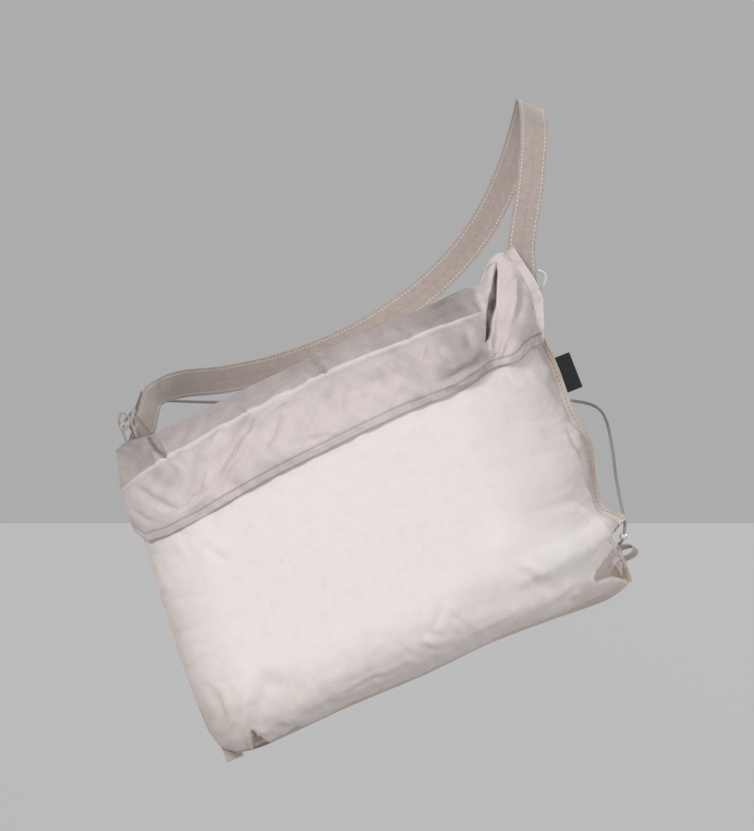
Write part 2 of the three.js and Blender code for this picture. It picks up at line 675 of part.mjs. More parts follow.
function makeAnchor(slider) {
  const points = [ANCHOR_SEWN, ANCHOR_SEWN / 2, 0].map((drop) => onBack(anchorPoint(drop)));
  const beside = slider.centre.clone()
    .addScaledVector(slider.run, BAR_PITCH + SLIDER_BAR)
    .addScaledVector(slider.outward, -HAIRPIN_RADIUS);
  const stations = facingStations(points, STATION_STEP);
  stations.push({ centre: beside, across: slider.across });
  stations.push(...hairpin(slider, 1, -1));
  const tailEnd = slider.centre.clone()
    .addScaledVector(slider.run, BAR_PITCH + SLIDER_BAR)
    .addScaledVector(slider.outward, HAIRPIN_RADIUS);
  stations.push({ centre: tailEnd, across: slider.across });
  const geometry = tape(stations, STRAP_WIDTH, STRAP_THICKNESS);
  return namedMesh('anchor_webbing', geometry, material(FINISHES.webbing));
}

// A flat plate with two slots, one for each webbing
function makeSlider(slider) {
  const cornerX = STRAP_WIDTH / 2 + CLEARANCE + SLIDER_SIDE - SLIDER_CORNER;
  const cornerY = SLIDER_SLOT + SLIDER_BAR * 1.5 - SLIDER_CORNER;
  const plate = new THREE.Shape();
  const corners = [
    { x: cornerX, y: -cornerY, from: -Math.PI / 2 },
    { x: cornerX, y: cornerY, from: 0 },
    { x: -cornerX, y: cornerY, from: Math.PI / 2 },
    { x: -cornerX, y: -cornerY, from: Math.PI },
  ];
  for (const { x, y, from } of corners) {
    plate.absarc(x, y, SLIDER_CORNER, from, from + Math.PI / 2);
  }
  const slotHalf = STRAP_WIDTH / 2 + CLEARANCE;
  for (const side of [-1, 1]) {
    const middle = side * BAR_PITCH / 2;
    const slot = new THREE.Path();
    slot.moveTo(-slotHalf, middle - SLIDER_SLOT / 2);
    slot.lineTo(slotHalf, middle - SLIDER_SLOT / 2);
    slot.lineTo(slotHalf, middle + SLIDER_SLOT / 2);
    slot.lineTo(-slotHalf, middle + SLIDER_SLOT / 2);
    slot.closePath();
    plate.holes.push(slot);
  }
  const settings = { depth: SLIDER_THICKNESS, bevelEnabled: false, curveSegments: 3 };
  const geometry = new THREE.ExtrudeGeometry(plate, settings);
  geometry.translate(0, 0, -SLIDER_THICKNESS / 2);
  const mesh = namedMesh('strap_slider', closedBody(geometry), material(FINISHES.hardware));
  const outward = slider.across.clone().cross(slider.run);
  const basis = new THREE.Matrix4().makeBasis(slider.across, slider.run, outward);
  mesh.quaternion.setFromRotationMatrix(basis);
  mesh.position.copy(slider.centre);
  return mesh;
}

// The small elastic loop behind the flap's right end, beside the strap. out: share of its reach
// past the seam. up: share of its rise. back: millimetres nearer the wearer's side.
function makeRightLoop() {
  const behind = STRAP_OFFSET + STRAP_THICKNESS / 2 + 3 * CLEARANCE + ELASTIC_DIAMETER / 2;
  const low = topLine(1) - RIGHT_LOOP_LEVEL * BAG_HEIGHT;
  const rows = [
    { out: -0.53, up: 0.85, back: 0 },
    { out: 0.12, up: 0.97, back: 0 },
    { out: 0.65, up: 1, back: -0.4 },
    { out: 1, up: 0.73, back: -1.5 },
    { out: 0.82, up: 0.4, back: -1 },
    { out: 0.35, up: 0.2, back: 0 },
    { out: -0.24, up: 0.15, back: 0 },
  ];
  const points = rows.map(({ out, up, back }) => (
    bagToModel(HALF_WIDTH + out * RIGHT_LOOP_REACH, low + up * RIGHT_LOOP_RISE, -behind - back)
  ));
  const geometry = roundCord(points, ELASTIC_DIAMETER, LOOP_STEPS);
  return namedMesh('elastic_loop_right', geometry, material(FINISHES.elastic));
}

// The elastic loop that stands on the flap's upper left corner and holds the toggle. side: share of
// half its width. up: share of its rise.
function makeLeftLoop() {
  const u = -HALF_WIDTH + LEFT_LOOP_ALONG * BAG_WIDTH;
  const foot = topLine(LEFT_LOOP_ALONG) + FLAP_LIFT + CLOTH / 2 + CLEARANCE;
  const rows = [
    { side: -1, up: 0 },
    { side: -1, up: 0.4 },
    { side: -0.95, up: 0.75 },
    { side: 0, up: 1 },
    { side: 0.95, up: 0.75 },
    { side: 1, up: 0.4 },
    { side: 1, up: 0 },
  ];
  const points = rows.map(({ side, up }) => (
    bagToModel(u + side * LEFT_LOOP_WIDTH / 2, foot + up * LEFT_LOOP_RISE, LEFT_LOOP_FRONT)
  ));
  const geometry = roundCord(points, LEFT_ELASTIC_DIAMETER, LOOP_STEPS);
  return namedMesh('elastic_loop_left', geometry, material(FINISHES.elastic));
}

function stabiliserPoints() {
  return STABILISER_ROUTE.map(torsoPoint);
}

function makeStabiliser() {
  const geometry = roundCord(stabiliserPoints(), CORD_DIAMETER, CORD_STEPS);
  return namedMesh('stabiliser_cord', geometry, material(FINISHES.cord));
}

// A bored piece on the cord, turned to the cord's way there
function onCord(name, geometry, place, way, meshMaterial) {
  const mesh = namedMesh(name, geometry, meshMaterial);
  mesh.position.copy(place);
  mesh.quaternion.setFromUnitVectors(new THREE.Vector3(0, 1, 0), way);
  return mesh;
}

function makeBead() {
  const points = stabiliserPoints();
  const way = points[BEAD_POINT + 1].clone().sub(points[BEAD_POINT - 1]).normalize();
  const geometry = boredBarrel(BEAD_DIAMETER, BEAD_LENGTH, BEAD_BORE);
  return onCord('cord_bead', geometry, points[BEAD_POINT], way, material(FINISHES.bead));
}

function makeToggle() {
  const points = stabiliserPoints();
  const end = points[points.length - 1];
  const way = end.clone().sub(points[points.length - 2]).normalize();
  const place = end.clone().addScaledVector(way, -TOGGLE_LENGTH / 2);
  const geometry = boredBarrel(TOGGLE_DIAMETER, TOGGLE_LENGTH, TOGGLE_BORE);
  return onCord('toggle', geometry, place, way, material(FINISHES.hardware));
}

// The tape loop that stands out of the right seam at the lower corner. out: share of its reach.
// up: share of its rise.
function makeRightTab() {
  const seam = HALF_WIDTH + BAG_WIDTH * tableValue(RIGHT_LINE, 'up', 'out', 0.1);
  const behind = SHEET_OFFSET + CLOTH / 2 + 3 * CLEARANCE + TAB_TAPE_WIDTH / 2;
  const level = -TAB_LEVEL * BAG_HEIGHT;
  const rows = [
    { out: -0.73, up: -0.41 },
    { out: 0, up: -0.06 },
    { out: 0.55, up: 0 },
    { out: 0.91, up: 0.18 },
    { out: 1, up: 0.53 },
    { out: 0.73, up: 0.88 },
    { out: 0.27, up: 1 },
    { out: -0.18, up: 1 },
  ];
  const across = new THREE.Vector3(0, 1, 0);
  const stations = rows.map(({ out, up }) => (
    { centre: bagToModel(seam + out * TAB_REACH, level + up * TAB_RISE, -behind), across }
  ));
  const geometry = tape(stations, TAB_TAPE_WIDTH, TAB_TAPE_THICKNESS);
  return namedMesh('tape_loop_right', geometry, material(FINISHES.paleTape));
}

// The folded ribbed tape under the lower left corner
function makeLeftTab() {
  const u = -HALF_WIDTH + CORNER_TAPE_ALONG * BAG_WIDTH;
  const tip = bottomLine(CORNER_TAPE_ALONG) - BOTTOM_OVERHANG - CORNER_TAPE_OUT;
  const front = -SHEET_OFFSET - (CLOTH + TAB_TAPE_THICKNESS) / 2 - TAB_STANDOFF;
  const rows = [{ up: CORNER_TAPE_SEWN, w: front }, { up: 0, w: front }];
  const turns = 5;
  for (let i = 1; i <= turns; i += 1) {
    const turn = Math.PI * (i / turns);
    rows.push({
      up: -CORNER_TAPE_TURN * Math.sin(turn),
      w: front - CORNER_TAPE_TURN * (1 - Math.cos(turn)),
    });
  }
  rows.push({ up: CORNER_TAPE_SEWN, w: front - 2 * CORNER_TAPE_TURN });
  const across = bagToModel(u + 1, tip, 0).sub(bagToModel(u - 1, tip, 0)).normalize();
  const stations = rows.map(({ up, w }) => ({ centre: bagToModel(u, tip + up, w), across }));
  const geometry = tape(stations, CORNER_TAPE_WIDTH, TAB_TAPE_THICKNESS);
  return namedMesh('tape_loop_left', geometry, material(FINISHES.paleTape));
}

// The bare black label that stands out of the right seam
function makeLabel() {
  const middle = LABEL_LEVEL * BAG_HEIGHT;
  const up = (middle + HALF_HEIGHT) / BAG_HEIGHT;
  const seam = HALF_WIDTH + BAG_WIDTH * tableValue(RIGHT_LINE, 'up', 'out', up);
  const w = -SHEET_OFFSET - (CLOTH + LABEL_THICKNESS) / 2 - CLEARANCE;
  const grid = [-0.5, 0, 0.5].map((rise) => [0, 0.5, 1].map((out) => bagToModel(
    seam - LABEL_SEWN + out * LABEL_WIDTH,
    middle + rise * LABEL_HEIGHT,
    w,
  )));
  return namedMesh('side_label', clothWall(grid, LABEL_THICKNESS), material(FINISHES.label));
}

const group = new THREE.Group();
const slider = sliderFrame();
group.add(makeFrontPanel());
group.add(makeBackPanel());
group.add(makeFlap());
group.add(makeStrap(slider));
group.add(makeAnchor(slider));
group.add(makeSlider(slider));
group.add(makeRightLoop());
group.add(makeLeftLoop());
group.add(makeStabiliser());
group.add(makeBead());
group.add(makeToggle());
group.add(makeRightTab());
group.add(makeLeftTab());
group.add(makeLabel());

export default group;
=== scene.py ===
"""Cycling musette bag: a light ripstop bag in its worn form, filled, with its flap folded over.

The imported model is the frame. Each sub-assembly below is a class that builds its pieces round that
frame and dresses them. Lengths inside the classes are millimetres in the part's own frame (+Z up, X
along the bag's back, -Y its outer side), and meshes are written in metres.
"""

from __future__ import annotations

import logging
import math
from dataclasses import dataclass, field
from enum import Enum
from typing import Callable, Iterable, Sequence

import bpy
import numpy as np
from mathutils import Matrix, Vector

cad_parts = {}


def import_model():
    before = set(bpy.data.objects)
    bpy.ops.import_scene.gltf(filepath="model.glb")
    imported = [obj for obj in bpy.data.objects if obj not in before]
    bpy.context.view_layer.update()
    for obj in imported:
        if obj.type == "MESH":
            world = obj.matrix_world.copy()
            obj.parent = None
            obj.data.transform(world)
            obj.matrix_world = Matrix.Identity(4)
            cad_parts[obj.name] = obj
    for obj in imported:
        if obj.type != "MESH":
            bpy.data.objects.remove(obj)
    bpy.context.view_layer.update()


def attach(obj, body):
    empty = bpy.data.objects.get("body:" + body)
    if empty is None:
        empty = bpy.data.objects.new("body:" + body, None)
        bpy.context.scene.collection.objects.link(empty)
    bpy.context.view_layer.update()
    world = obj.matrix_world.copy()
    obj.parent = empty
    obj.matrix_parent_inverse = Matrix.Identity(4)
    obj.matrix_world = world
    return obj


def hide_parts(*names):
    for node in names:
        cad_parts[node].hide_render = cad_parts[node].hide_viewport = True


Array = np.ndarray
Line = Sequence[tuple[float, float]]
Material = bpy.types.Material
Piece = bpy.types.Object
Socket = bpy.types.NodeSocket

LOG = logging.getLogger("musette")
MM = 0.001
BODY = "root"


class Cloth(Enum):
    """The cloths that the bag is cut from."""

    FRONT = "front_cloth"
    TAUPE = "taupe_cloth"


class Facing(Enum):
    """Which way a sheet's faces have to point for its thickness to grow the right way."""

    OUTWARD = 1
    INWARD = -1


@dataclass(frozen=True)
class Crease:
    """One crease in the cloth, in millimetres in the bag's own frame.

    Attributes:
        u0, v0, u1, v1: where it starts and ends.
        width: its half width.
        depth: its height, negative for a valley.
        bow: how far its middle bows out sideways.
    """

    u0: float
    v0: float
    u1: float
    v1: float
    width: float
    depth: float
    bow: float


def creases_of(*rows: tuple[float, ...]) -> tuple[Crease, ...]:
    """Creases from rows with their fields in order."""
    return tuple(Crease(*row) for row in rows)


# Numbers and noise


def bump(x: Array, width: float) -> Array:
    """1 where x is 0, smoothly down to nearly nothing at twice the width."""
    return np.exp(-((x / width) ** 2))


def lengths_along(points: Array) -> Array:
    """The length of the way to each point of a line."""
    return np.concatenate([[0], np.cumsum(np.linalg.norm(np.diff(points, axis=0), axis=1))])


def rows_at(places: Array, keys: Array, rows: Array) -> Array:
    """Rows of three numbers at places between their keys, on straight lines."""
    return np.stack([np.interp(places, keys, rows[:, k]) for k in range(3)], axis=1)


def run_gap(u: Array, v: Array, start: Array, end: Array) -> Array:
    """The distance from places to the straight run between two points."""
    run = end - start
    share = np.clip(((u - start[0]) * run[0] + (v - start[1]) * run[1]) / (run @ run), 0, 1)
    return np.hypot(u - start[0] - share * run[0], v - start[1] - share * run[1])


def line_gap(u: Array, v: Array, line: Line) -> Array:
    """The distance from places to a line through points, in millimetres."""
    points = np.array(line, float)
    return np.minimum.reduce([run_gap(u, v, a, b) for a, b in zip(points[:-1], points[1:])])


def curve_through(rows: Line, place: Array | float) -> Array:
    """The values of a table of places and values at other places, on a smooth curve."""
    keys, values = np.array(rows, float).T
    return smooth_between(keys, values, np.asarray(place, float))


def smooth_between(keys: Array, values: Array, place: Array) -> Array:
    """A smooth curve through values that are numbers or whole rows of numbers.

    Args:
        keys: the places of the values, in order.
        values: the values, one for each key along the first axis.
        place: where they are wanted.

    Returns:
        The values there.
    """
    last = len(keys) - 1
    x = np.clip(place, keys[0], keys[-1])
    i = np.clip(np.searchsorted(keys, x, side="left") - 1, 0, last - 1)
    before = np.maximum(np.arange(last + 1) - 1, 0)
    after = np.minimum(np.arange(last + 1) + 1, last)
    deep = (...,) + (None,) * (values.ndim - 1)
    slopes = (values[after] - values[before]) / (keys[after] - keys[before])[deep]
    span = (keys[i + 1] - keys[i])[deep]
    s = (x - keys[i])[deep] / span
    rest = 1 - s
    ends = rest**2 * (1 + 2 * s) * values[i] + s**2 * (3 - 2 * s) * values[i + 1]
    return ends + s * rest * (rest * slopes[i] - s * slopes[i + 1]) * span


def blurred(grid: Array, passes: int) -> Array:
    """A grid of numbers, each of them mixed with its neighbours a number of times."""
    for _ in range(passes):
        p = np.pad(grid, 1, mode="edge")
        beside = p[:-2, 1:-1] + p[2:, 1:-1] + p[1:-1, :-2] + p[1:-1, 2:]
        grid = (beside + 4 * p[1:-1, 1:-1]) / 8
    return grid


def within(u: Array, v: Array, outline: Line, soft: float) -> Array:
    """1 inside an outline in the bag's frame, 0 outside, and smooth over a border soft wide.

    Args:
        u, v: the places.
        outline: its corners, in order.
        soft: the border's width, in millimetres.

    Returns:
        The share at each place.
    """
    corners = np.array([*outline, outline[0]], float)
    gap = line_gap(u, v, corners)
    inside = np.zeros(u.shape, bool)
    for a, b in zip(corners[:-1], corners[1:]):
        run = b - a
        crosses = (a[1] > v) != (b[1] > v)
        inside ^= crosses & (u < a[0] + (v - a[1]) * run[0] / (run[1] or 1e-9))
    return soft_step(-soft / 2, soft / 2, np.where(inside, gap, -gap))


def soft_step(low: float, high: float, x: Array) -> Array:
    """0 below low, 1 above high and smooth between them."""
    s = np.clip((np.asarray(x, float) - low) / (high - low), 0, 1)
    return s * s * (3 - 2 * s)


def noise(x: Array, y: Array, cell: float, seed: int) -> Array:
    """Smooth noise from -1 to 1 whose lattice is cell millimetres wide.

    Args:
        x, y: places in millimetres.
        cell: the lattice's pitch.
        seed: picks one of many patterns.

    Returns:
        The noise at each place.
    """
    gx, gy = np.asarray(x, float) / cell, np.asarray(y, float) / cell
    ix, iy = np.floor(gx), np.floor(gy)
    fx, fy = gx - ix, gy - iy
    wx = fx**3 * (fx * (6 * fx - 15) + 10)
    wy = fy**3 * (fy * (6 * fy - 15) + 10)

    def corner(i: Array, j: Array) -> Array:
        """A number from -1 to 1 that belongs to one lattice point."""
        h = np.sin(i * 127.1 + j * 311.7 + seed * 74.7) * 43758.5453
        return 2 * (h - np.floor(h)) - 1

    low = corner(ix, iy) * (1 - wx) + corner(ix + 1, iy) * wx
    high = corner(ix, iy + 1) * (1 - wx) + corner(ix + 1, iy + 1) * wx
    return low * (1 - wy) + high * wy


def crumple(x: Array, y: Array, cell: float, seed: int) -> Array:
    """Crisp-edged noise, like thin coated cloth that has been pressed: sharp ridges, flat faces."""
    first = 1 - 2 * np.abs(noise(x, y, cell, seed))
    second = 1 - 2 * np.abs(noise(x + 31.7, y - 12.3, cell * 0.47, seed + 5))
    return first * 0.7 + second * 0.3


def crease_lift(u: Array, v: Array, creases: Iterable[Crease], seed: int) -> Array:
    """How far a set of creases lifts the cloth at places in the bag's frame.

    Args:
        u, v: the places.
        creases: the creases.
        seed: picks the small wander of their lines.

    Returns:
        The lift in millimetres.
    """
    wander_u = u + 1.6 * noise(u, v, 17, seed) + 0.5 * noise(u, v, 6, seed + 1)
    wander_v = v + 1.6 * noise(u, v, 17, seed + 2) + 0.5 * noise(u, v, 6, seed + 3)
    lift = np.zeros_like(u)
    for crease in creases:
        run = np.array([crease.u1 - crease.u0, crease.v1 - crease.v0])
        length = float(np.hypot(*run))
        du, dv = run / length
        from_u, from_v = wander_u - crease.u0, wander_v - crease.v0
        along = np.clip((from_u * du + from_v * dv) / length, 0, 1)
        side = from_v * du - from_u * dv - crease.bow * 4 * along * (1 - along)
        over = (from_u * du + from_v * dv) / length
        fade = np.where((over > 0) & (over < 1), np.sin(math.pi * along) ** 0.7, 0)
        t = side / crease.width
        # Thin crisp cloth folds sharply on one side of a crease and slopes gently on the other
        crisp = np.exp(-(np.abs(t * np.where(t > 0, 1.9, 0.8)) ** 1.5))
        lift += crease.depth * fade * (crisp - 0.42 * bump(np.abs(t) - 1.8, 1))
    return lift


def spaced(stretches: Sequence[tuple[float, int, int]]) -> Array:
    """Places along a panel, stretch by stretch.

    Args:
        stretches: where each stretch ends, its count, and its curl. Curl 1 crowds the places at its
            start as a quarter circle needs, -1 at its end, 0 nowhere.

    Returns:
        The places, in millimetres.
    """
    places = [0.0]
    for end, count, curl in stretches:
        start = places[-1]
        for i in range(1, count + 1):
            turn = (math.pi / 2) * i / count
            eased = {1: 1 - math.cos(turn), 0: i / count, -1: math.sin(turn)}[curl]
            places.append(start + (end - start) * eased)
    return np.array(places)


def unit(vectors: Array) -> Array:
    """The same directions at length 1."""
    return vectors / np.maximum(np.linalg.norm(vectors, axis=-1, keepdims=True), 1e-12)


def smooth_route(points: Array, step: float) -> Array:
    """Places along a centripetal Catmull-Rom curve, as the part's source draws its routes.

    Args:
        points: the chosen points, one a row.
        step: about how far apart the places are, in millimetres.

    Returns:
        The places, and the share of the way through the chosen points as a last column.
    """
    points = np.asarray(points, float)
    padded = np.vstack([2 * points[0] - points[1], points, 2 * points[-1] - points[-2]])
    places = []
    last = len(points) - 1
    for i in range(last):
        p0, p1, p2, p3 = padded[i : i + 4]
        d0, d1, d2 = (math.sqrt(np.linalg.norm(b - a)) for a, b in ((p0, p1), (p1, p2), (p2, p3)))
        t1 = ((p1 - p0) / d0 - (p2 - p0) / (d0 + d1) + (p2 - p1) / d1) * d1
        t2 = ((p2 - p1) / d1 - (p3 - p1) / (d1 + d2) + (p3 - p2) / d2) * d1
        count = max(2, round(float(np.linalg.norm(p2 - p1)) / step))
        for k in range(count + (i == last - 1)):
            t = k / count
            cubic = p1 + t1 * t + (3 * (p2 - p1) - 2 * t1 - t2) * t**2
            place = cubic + (2 * (p1 - p2) + t1 + t2) * t**3
            places.append([*place, (i + t) / last])
    return np.array(places)


# Operators


def to_mode(mode: str) -> None:
    """Puts the active piece in a mode."""
    bpy.ops.object.mode_set(mode=mode)


def deselect() -> None:
    """Leaves edit mode and selects nothing."""
    if bpy.context.object and bpy.context.object.mode != "OBJECT":
        to_mode("OBJECT")
    bpy.ops.object.select_all(action="DESELECT")


def take(piece: Piece) -> None:
    """Makes one object the only selected and active one."""
    deselect()
    piece.select_set(True)
    bpy.context.view_layer.objects.active = piece


def edit_all(piece: Piece, *steps: Callable[[], object]) -> None:
    """Runs edit-mode operators on a whole piece.

    Args:
        piece: the piece.
        steps: calls, each of them one operator.
    """
    take(piece)
    to_mode("EDIT")
    bpy.ops.mesh.select_all(action="SELECT")
    for step in steps:
        step()
    to_mode("OBJECT")


def face_out(piece: Piece) -> None:
    """Turns every face of a closed piece outwards."""
    edit_all(piece, lambda: bpy.ops.mesh.normals_make_consistent(inside=False))


def settle_place(piece: Piece) -> None:
    """Moves a piece's place, turn and size from its object into its mesh."""
    take(piece)
    bpy.ops.object.transform_apply(location=True, rotation=True, scale=True)


def points_of(mesh: bpy.types.Mesh) -> Array:
    """A mesh's points, one a row."""
    flat = np.empty(len(mesh.vertices) * 3)
    mesh.vertices.foreach_get("co", flat)
    return flat.reshape(-1, 3)


def finish_with(piece: Piece, kind: str, **settings: object) -> None:
    """Adds one modifier with its settings and applies it.

    Args:
        piece: the piece.
        kind: the modifier's type.
        settings: its settings by name.
    """
    take(piece)
    bpy.ops.object.modifier_add(type=kind)
    modifier = piece.modifiers[-1]
    for name, value in settings.items():
        setattr(modifier, name, value)
    bpy.ops.object.modifier_apply(modifier=modifier.name)


def smooth_shade(piece: Piece, degrees: float = 50) -> None:
    """Shades a piece smooth, with sharp edges past an angle."""
    take(piece)
    bpy.ops.object.shade_smooth_by_angle(angle=math.radians(degrees))


def dress(piece: Piece, look: Material, slot: str, *nodes: str) -> None:
    """Gives a piece its material and its body, and hides the nodes that it stands for.

    Args:
        piece: the piece.
        look: its material.
        slot: not used.
        nodes: the nodes that it replaces.
    """
    piece.data.materials.clear()
    piece.data.materials.append(look)
    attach(piece, BODY)
    if nodes:
        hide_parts(*nodes)
    LOG.info("%s: %d faces", piece.name, len(piece.data.polygons))


# Sheets, tubes and stitches


@dataclass
class Sheet:
    """A sheet of cloth or tape as a grid of points in millimetres.

    Attributes:
        across: the columns' places, in millimetres along the cloth.
        up: the rows' places, in millimetres along the cloth.
        points: rows by columns by three.
        cut: the place of each point on the flat cloth, in millimetres from the sheet's middle.
    """

    across: Array
    up: Array
    points: Array
    cut: Array | None = None

    def __post_init__(self) -> None:
        """Measures the cut along the rows and columns, from the sheet's middle."""
        if self.cut is None:
            measured = []
            for axis, count in ((1, len(self.across)), (0, len(self.up))):
                steps = np.linalg.norm(np.diff(self.points, axis=axis), axis=2)
                steps = np.insert(np.cumsum(steps, axis=axis), 0, 0, axis=axis)
                measured.append(steps - np.take(steps, [count // 2], axis=axis))
            self.cut = np.stack(measured, axis=-1)

    def normals(self) -> Array:
        """The way the sheet faces at each point, by its rows and columns."""
        along_row = np.gradient(self.points, axis=1)
        along_column = np.gradient(self.points, axis=0)
        return unit(np.cross(along_row, along_column))

    def flat_size(self) -> tuple[float, float]:
        """The cut's width and length in metres, from the middle lengths of the rows and columns."""
        rows = np.linalg.norm(np.diff(self.points, axis=1), axis=2).sum(axis=1)
        columns = np.linalg.norm(np.diff(self.points, axis=0), axis=2).sum(axis=0)
        size = round(float(np.median(rows)) * MM, 3), round(float(np.median(columns)) * MM, 3)
        LOG.info("flat size %.3f by %.3f m", *size)
        return size

    def lifted(self, lift: Array) -> Sheet:
        """The same sheet, moved along its normals by lift millimetres at each point."""
        return Sheet(self.across, self.up, self.points + self.normals() * lift[..., None], self.cut)

    def at(self, across: Array, up: Array) -> tuple[Array, Array]:
        """Points and normals at places on the cloth.

        Args:
            across, up: the places, in millimetres along the cloth.

        Returns:
            The points and the normals there.
        """
        column = np.interp(across, self.across, np.arange(len(self.across)))
        row = np.interp(up, self.up, np.arange(len(self.up)))
        c0 = np.clip(np.floor(column).astype(int), 0, len(self.across) - 2)
        r0 = np.clip(np.floor(row).astype(int), 0, len(self.up) - 2)
        s, t = (column - c0)[:, None], (row - r0)[:, None]
        found = []
        for grid in (self.points, self.normals()):
            low = grid[r0, c0] * (1 - s) + grid[r0, c0 + 1] * s
            high = grid[r0 + 1, c0] * (1 - s) + grid[r0 + 1, c0 + 1] * s
            found.append(low * (1 - t) + high * t)
        return found[0], unit(found[1])

    def make(
        self, name: str, thickness: float, facing: Facing = Facing.OUTWARD,
        tone_and_painted_light: Array | None = None,
    ) -> Piece:
        """Makes the sheet from a grid primitive, with its cut in its UV map in metres.

        Args:
            name: the piece's name.
            thickness: the cloth's thickness in millimetres.
            facing: whether the grid's own faces already point outwards.
            tone_and_painted_light: how dark, or below 0 how light, the cloth is at each point, for its
                material: painted shade and painted highlight, with some random tone.

        Returns:
            The piece, closed.
        """
        rows, columns = self.points.shape[:2]
        deselect()
        bpy.ops.mesh.primitive_grid_add(
            x_subdivisions=columns - 1, y_subdivisions=rows - 1, size=1, calc_uvs=True
        )
        piece = bpy.context.object
        piece.name = name
        mesh = piece.data
        flat = points_of(mesh)
        c = np.rint((flat[:, 0] + 0.5) * (columns - 1)).astype(int)
        r = np.rint((flat[:, 1] + 0.5) * (rows - 1)).astype(int)
        mesh.vertices.foreach_set("co", (self.points[r, c] * MM).ravel())
        corner = np.empty(len(mesh.loops), int)
        mesh.loops.foreach_get("vertex_index", corner)
        mesh.uv_layers.active.data.foreach_set("uv", (self.cut[r, c][corner] * MM).ravel())
        marks = {} if tone_and_painted_light is None else {"tone_and_painted_light": tone_and_painted_light[r, c]}
        for label, numbers in {**marks, "row": r, "column": c}.items():
            mark = mesh.attributes.new(label, "FLOAT", "POINT")
            mark.data.foreach_set("value", numbers.astype(np.float32))
        mesh.update()
        if facing is Facing.INWARD:
            edit_all(piece, bpy.ops.mesh.flip_normals)
        if thickness:
            finish_with(piece, "SOLIDIFY", thickness=thickness * MM, offset=0, use_even_offset=False)
        smooth_shade(piece, 60)
        return piece


@dataclass(frozen=True)
class Wrinkles:
    """Wrinkles as thin cloth makes them by itself, from a short cloth simulation.

    A sheet that is held at its seams is cut a little too large for its place, so it buckles: short
    puckers at right angles to a seam, and long soft folds where it is slack. Only the fine part of that
    is kept, so the bag keeps its main form.

    Attributes:
        growth: how much too large the cloth is, as a share.
        pressure: how firmly what fills the bag presses on it.
        bending: how stiffly the cloth bends.
        seed: picks the small unevenness that the buckling starts from.
        frames: how long it runs.
        scale: how much larger than life it runs, which keeps the solver steady.
        broad: how many blurring passes make up the main form that is taken away.
    """

    growth: float
    pressure: float
    bending: float
    seed: int
    frames: int = 20
    scale: float = 10.0
    broad: int = 60

    def lift(self, sheet: Sheet, pins: Array) -> Array:
        """How far each point of the sheet is lifted along its normal.

        Args:
            sheet: the sheet at rest.
            pins: how firmly each point is held, from 0 to 1.
        """
        rough = np.random.default_rng(self.seed).standard_normal(pins.shape) * 0.3 * (1 - pins)
        cloth = sheet.lifted(rough).make("trial_cloth", 0)
        deselect()
        cloth.scale = (self.scale,) * 3
        settle_place(cloth)
        held = cloth.vertex_groups.new(name="held")
        order = self.grid_order(cloth, sheet)
        weights = np.round(pins, 1).ravel()
        for weight in np.unique(weights[weights > 0]):
            held.add([int(i) for i in order.ravel()[weights == weight]], float(weight), "REPLACE")
        self.add_cloth(cloth)
        scene = bpy.context.scene
        for frame in range(1, self.frames + 1):
            scene.frame_set(frame)
        settled = cloth.evaluated_get(bpy.context.evaluated_depsgraph_get()).to_mesh()
        moved = points_of(settled)[order] / (MM * self.scale) - sheet.points
        mesh = cloth.data
        bpy.data.objects.remove(cloth)
        bpy.data.meshes.remove(mesh)
        scene.frame_set(1)
        lift = blurred((moved * sheet.normals()).sum(axis=-1), 2)
        return lift - blurred(lift, self.broad)

    @staticmethod
    def grid_order(cloth: Piece, sheet: Sheet) -> Array:
        """The vertex number of each point of the sheet, by its row and column."""
        marks = np.empty((2, len(cloth.data.vertices)), np.float32)
        for label, numbers in zip(("row", "column"), marks):
            cloth.data.attributes[label].data.foreach_get("value", numbers)
        order = np.zeros(sheet.points.shape[:2], int)
        order[tuple(np.rint(marks).astype(int))] = np.arange(marks.shape[1])
        return order

    def add_cloth(self, cloth: Piece) -> None:
        """Gives the trial cloth its cloth modifier."""
        take(cloth)
        bpy.ops.object.modifier_add(type="CLOTH")
        modifier = cloth.modifiers[-1]
        settings = modifier.settings
        choices = {
            "quality": 6, "mass": 0.1, "tension_stiffness": 15, "compression_stiffness": 15,
            "shear_stiffness": 9, "bending_stiffness": self.bending, "tension_damping": 5,
            "compression_damping": 5, "shear_damping": 5, "bending_damping": 0.5, "air_damping": 2,
            "shrink_min": -self.growth, "shrink_max": -self.growth, "use_pressure": self.pressure > 0,
            "uniform_pressure_force": self.pressure, "vertex_group_mass": "held", "pin_stiffness": 1,
        }
        for name, value in choices.items():
            setattr(settings, name, value)
        settings.effector_weights.gravity = 0
        modifier.collision_settings.use_collision = False
        modifier.point_cache.frame_start = 1
        modifier.point_cache.frame_end = self.frames


